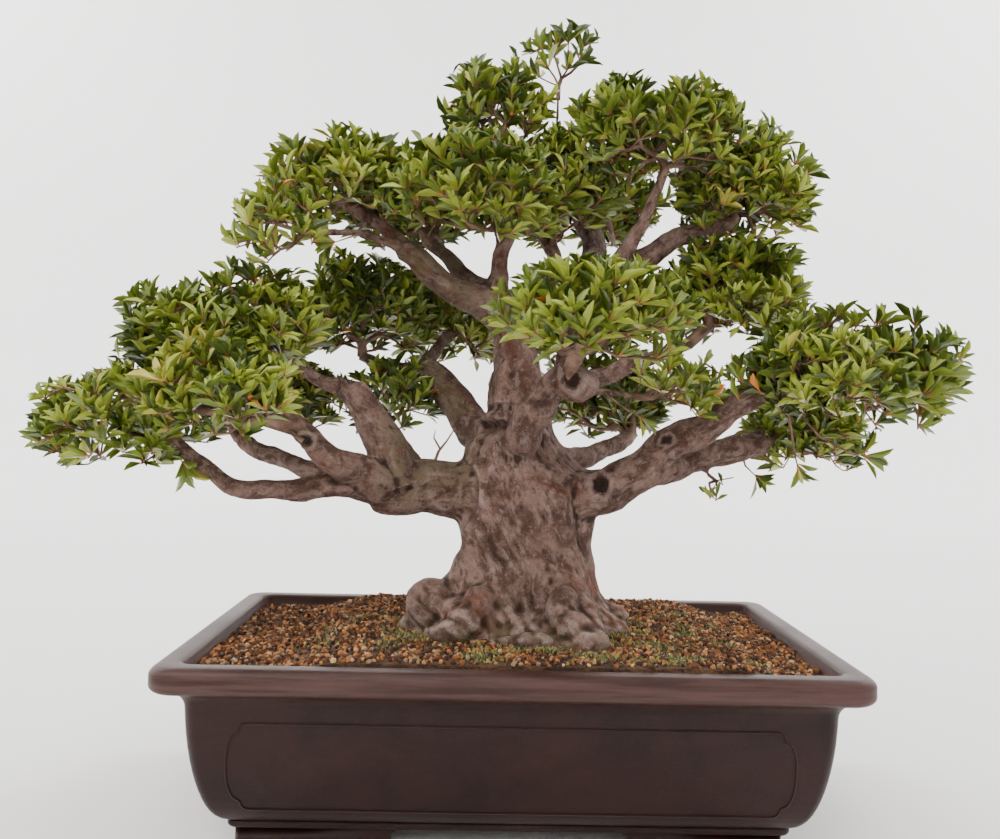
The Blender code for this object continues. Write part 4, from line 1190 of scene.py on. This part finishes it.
def grow_twigs(index, rng):
    """Branch from the limb's tip to every rosette, thick where many twigs are carried."""
    name = pad_names[index]
    limb = PADS[name][0]
    tip, before = limb_point(limb, 1.0), limb_point(limb, 0.9)
    heading = (tip - before).normalized()
    core = Vector(pad_centres[index])
    hub = tip.lerp(core, 0.5) - Vector((0, 0, 0.004))
    nodes = [tip - heading * 0.006, tip + heading * 0.004, hub]
    parents = [-1, 0, 1]
    reach = [0.0, 0.0, (hub - tip).length]
    ends = []
    chains = []
    places = sorted(rosette_places(index, rng), key=lambda found: (found[0] - hub).length)
    for place, spray in places:
        best = min(range(1, len(nodes)), key=lambda k: (nodes[k] - place).length + 0.30 * reach[k])
        root = nodes[best]
        gap = place - root
        sag = Vector((rng.gauss(0, 1), rng.gauss(0, 1), rng.gauss(-0.6, 1))) * gap.length * 0.07
        steps = max(1, round(gap.length / TWIG_STEP))
        chain = [best]
        for step in range(steps):
            part = (step + 1) / steps
            spot = root.lerp(place, part) + sag * math.sin(math.pi * part)
            nodes.append(spot)
            parents.append(chain[-1])
            reach.append(reach[chain[-1]] + gap.length / steps)
            chain.append(len(nodes) - 1)
        chains.append(chain)
        ends.append((place, (nodes[chain[-1]] - nodes[chain[-2]]).normalized(), spray))
    carried = [0] * len(nodes)
    for chain in chains:
        node = chain[-1]
        while node >= 0:
            carried[node] += 1
            node = parents[node]
    power = math.log(limb_radius(limb, 1.0) * 0.92 / TWIG_TIP) / math.log(max(len(ends), 2))
    radii = [TWIG_TIP * max(count, 1) ** power for count in carried]
    return nodes, radii, [[0, 1, 2]] + chains, ends


twig_curve = bpy.data.curves.new("twigs", "CURVE")
twig_curve.dimensions = "3D"
twig_curve.bevel_depth = 1.0
twig_curve.bevel_resolution = 0
twig_curve.use_fill_caps = True
rosettes = []
for index, name in enumerate(pad_names):
    rng = random.Random(SEED * 100 + index)
    nodes, radii, chains, ends = grow_twigs(index, rng)
    for chain in chains:
        spline = twig_curve.splines.new("POLY")
        spline.points.add(len(chain) - 1)
        spline.material_index = 1 if radii[chain[1]] < YOUNG_TWIG else 0
        for order, (point, node) in enumerate(zip(spline.points, chain)):
            point.co = (*nodes[node], 1.0)
            point.radius = radii[node] if order else min(radii[node], radii[chain[1]] * 1.25)
    rosettes += [(index, place, along, spray) for place, along, spray in ends]
for name, dark, light in (("old_twig", (84, 60, 46), (138, 110, 92)),
                          ("young_twig", (146, 92, 46), (196, 138, 72))):
    rind = Finish(name, Roughness=0.75)
    where = rind.place()
    tint = rind.noise(where, 70.0, 3.0)
    rind.feed("Base Color", rind.mix(tint.within(0.35, 0.65), dark, light))
    rind.bump(rind.noise(where, 700.0, 3.0), 0.0006)
    twig_curve.materials.append(rind.material)
for pad, thick, leafy, line in LONE_SHOOTS:
    line = [at(point) for point in line]
    spline = twig_curve.splines.new("POLY")
    spline.points.add(len(line) - 1)
    for order, (point, place) in enumerate(zip(spline.points, line)):
        point.co = (*place, 1.0)
        point.radius = thick / 1000 * (1 - 0.65 * order / (len(line) - 1))
    if leafy:
        along = (line[-1] - line[-2]).normalized()
        rosettes.append((pad_names.index(pad), line[-1], along, "lone"))
lines = show("twigs", twig_curve)
graph = bpy.context.evaluated_depsgraph_get()
twig_mesh = bpy.data.meshes.new_from_object(lines.evaluated_get(graph))
bpy.data.objects.remove(lines, do_unlink=True)
twigs = show("twigs", twig_mesh)
smooth_over(twig_mesh)
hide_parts(*PADS)
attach(twigs, "root")

# ---------------------------------------------------------------- leaves
# Small lance-shaped leaves, up to 25 mm long, in whorls of seven to ten at the twig ends. They
# are leathery and glossy above, browner at the foot, and a few turn yellow and orange each year.
# The first and third greens are shaded and lit copies of the mid green, that is, painted shade and
# painted light, dealt out by spray.
LEAF_TONES = {
    "painted_shade": (72, 88, 34),
    "mid": (116, 132, 48),
    "painted_light": (158, 170, 66),
    "yellow": (190, 182, 84),
    "turning": (214, 128, 56),
}
# The feet of those shaded and lit leaves are painted shade and painted light in the same way.
FOOT_TONES = {
    "painted_shade": (124, 88, 46),
    "mid": (152, 114, 58),
    "painted_light": (178, 146, 74),
    "yellow": (200, 152, 80),
    "turning": (214, 112, 56),
}
# Share of the length and of the full width at each row of a leaf's points.
LEAF_STATIONS = ((0.0, 0.07), (0.26, 0.48), (0.54, 0.98), (0.80, 0.64), (1.0, 0.0))
# How far a leaf's tip bends up or down, and how steeply its halves fold.
LEAF_BENDS = ((-0.03, 0.14), (0.03, 0.20), (0.07, 0.24), (-0.09, 0.12))
YOUNG_LEAF = 2
LEAF_COUNTS = (7, 8, 8, 9, 9, 10)
LEAF_LENGTHS = (0.0170, 0.0225)
LEAF_WIDTHS = (0.22, 0.28)
LEAF_TURN = 2.4
LEAF_PIECES = 3
# How many sprays of each tone: in most pads, in some, and among the leaves that differ.
PAD_TONES = (22, 44, 33, 1.2, 0)
# Back and inner pads get more sprays of the painted shade, and the left front pad gets more of the
# painted light.
OWN_PAD_TONES = {
    "left_front_pad": (14, 34, 42, 8, 0),
    "far_left_pad": (16, 42, 34, 4, 0),
    "back_left_pad": (44, 38, 12, 1, 0),
    "left_inner_pad": (44, 38, 12, 1, 0),
    "left_back_pad": (34, 42, 18, 1, 0),
}
ODD_LEAF_TONES = (30, 42, 27, 1.2, 0)


def leaf_pattern(curl, fold):
    """A unit leaf along +Y: two strips folded at the rib, bent down or up along its length."""
    blade = bmesh.new()
    bmesh.ops.create_grid(blade, x_segments=2, y_segments=4, size=0.5)
    rows = sorted({round(vert.co.y, 4) for vert in blade.verts})
    sheet = blade.loops.layers.uv.new("own_shape")
    for face in blade.faces:
        for loop in face.loops:
            loop[sheet].uv = (loop.vert.co.x + 0.5, loop.vert.co.y + 0.5)
        face.material_index = 1 if face.calc_center_median().y < rows[1] else 0
    for vert in blade.verts:
        along, width = LEAF_STATIONS[rows.index(round(vert.co.y, 4))]
        side = vert.co.x * 2
        vert.co = (side * width * 0.5, along, abs(side) * width * fold + curl * along * along)
    bmesh.ops.remove_doubles(blade, verts=blade.verts[:], dist=0.0005)
    return blade


leaf_shapes = [leaf_pattern(*bend) for bend in LEAF_BENDS]
tone_order = range(len(LEAF_TONES))
leaf_copies = []
rng = random.Random(SEED)
spray_tones = {}
for index, place, along, spray in rosettes:
    centre = Vector(pad_centres[index])
    lone = spray == "lone"
    outward = along * 0.3 + (place - centre).normalized() * 0.4 + Vector((0, 0, 0.65))
    outward = along if lone else outward.normalized()
    across = outward.orthogonal().normalized()
    over = outward.cross(across)
    phase = rng.uniform(0, math.tau)
    count = rng.choice(LEAF_COUNTS)
    if (index, spray) not in spray_tones:
        weights = OWN_PAD_TONES.get(pad_names[index], PAD_TONES)
        spray_tones[index, spray] = rng.choices(tone_order, weights)[0]
    tone = spray_tones[index, spray]
    scale = rng.uniform(0.82, 1.12)
    for leaf in range(count):
        angle = phase + leaf * LEAF_TURN + rng.uniform(-0.2, 0.2)
        inner = leaf / count
        tilt = math.radians(62 - 46 * inner + rng.uniform(-12, 12))
        lean = spoke(outward, spoke(across, over, angle), tilt).normalized()
        length = rng.uniform(*LEAF_LENGTHS) * scale * (1.0 - 0.20 * inner)
        width = length * rng.uniform(*LEAF_WIDTHS)
        for size in (1.0, 0.8, 0.62):
            end = place + lean * length * size
            if lone or space_share(index, end) <= leaf_limit(index, end):
                break
        else:
            continue
        top = (outward - lean * outward.dot(lean)).normalized()
        base = place - along * rng.uniform(0.0, 0.004)
        kind = rng.randrange(len(leaf_shapes)) if leaf < count - 2 else YOUNG_LEAF
        own_tone = tone if rng.random() < 0.55 else rng.choices(tone_order, ODD_LEAF_TONES)[0]
        if leaf < 2 and rng.random() < 0.012:
            own_tone = rng.choice(tone_order[-2:])
        side = lean.cross(top)
        shape = placing(base, side, lean, top, (width * size ** 0.5, length * size, length * size))
        leaf_copies.append((kind, shape, own_tone * 2))
leaf_finishes = []
for name in LEAF_TONES:
    for part, tones in (("blade", LEAF_TONES), ("foot", FOOT_TONES)):
        skin_tone = Finish(f"leaf_{name}_{part}", Roughness=0.36, Coat_Weight=0.25,
                           Coat_Roughness=0.25)
        sheet = skin_tone.node("UVMap", {"uv_map": "own_shape"}, {}, "UV")
        across = skin_tone.node("SeparateXYZ", {}, {0: sheet}, 0)
        rib = across.within(0.38, 0.5) * across.within(0.62, 0.5)
        light = tuple(min(value * 1.18 + 14, 255) for value in tones[name])
        skin_tone.feed("Base Color", skin_tone.mix(rib * 0.7, tones[name], light))
        leaf_finishes.append(skin_tone.material)
share = len(leaf_copies) // LEAF_PIECES + 1
for number in range(LEAF_PIECES):
    part = leaf_copies[number * share:(number + 1) * share]
    leaves = stamp(f"leaves_{number + 1}", leaf_shapes, part, leaf_finishes)
    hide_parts(*PADS)
    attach(leaves, "root")
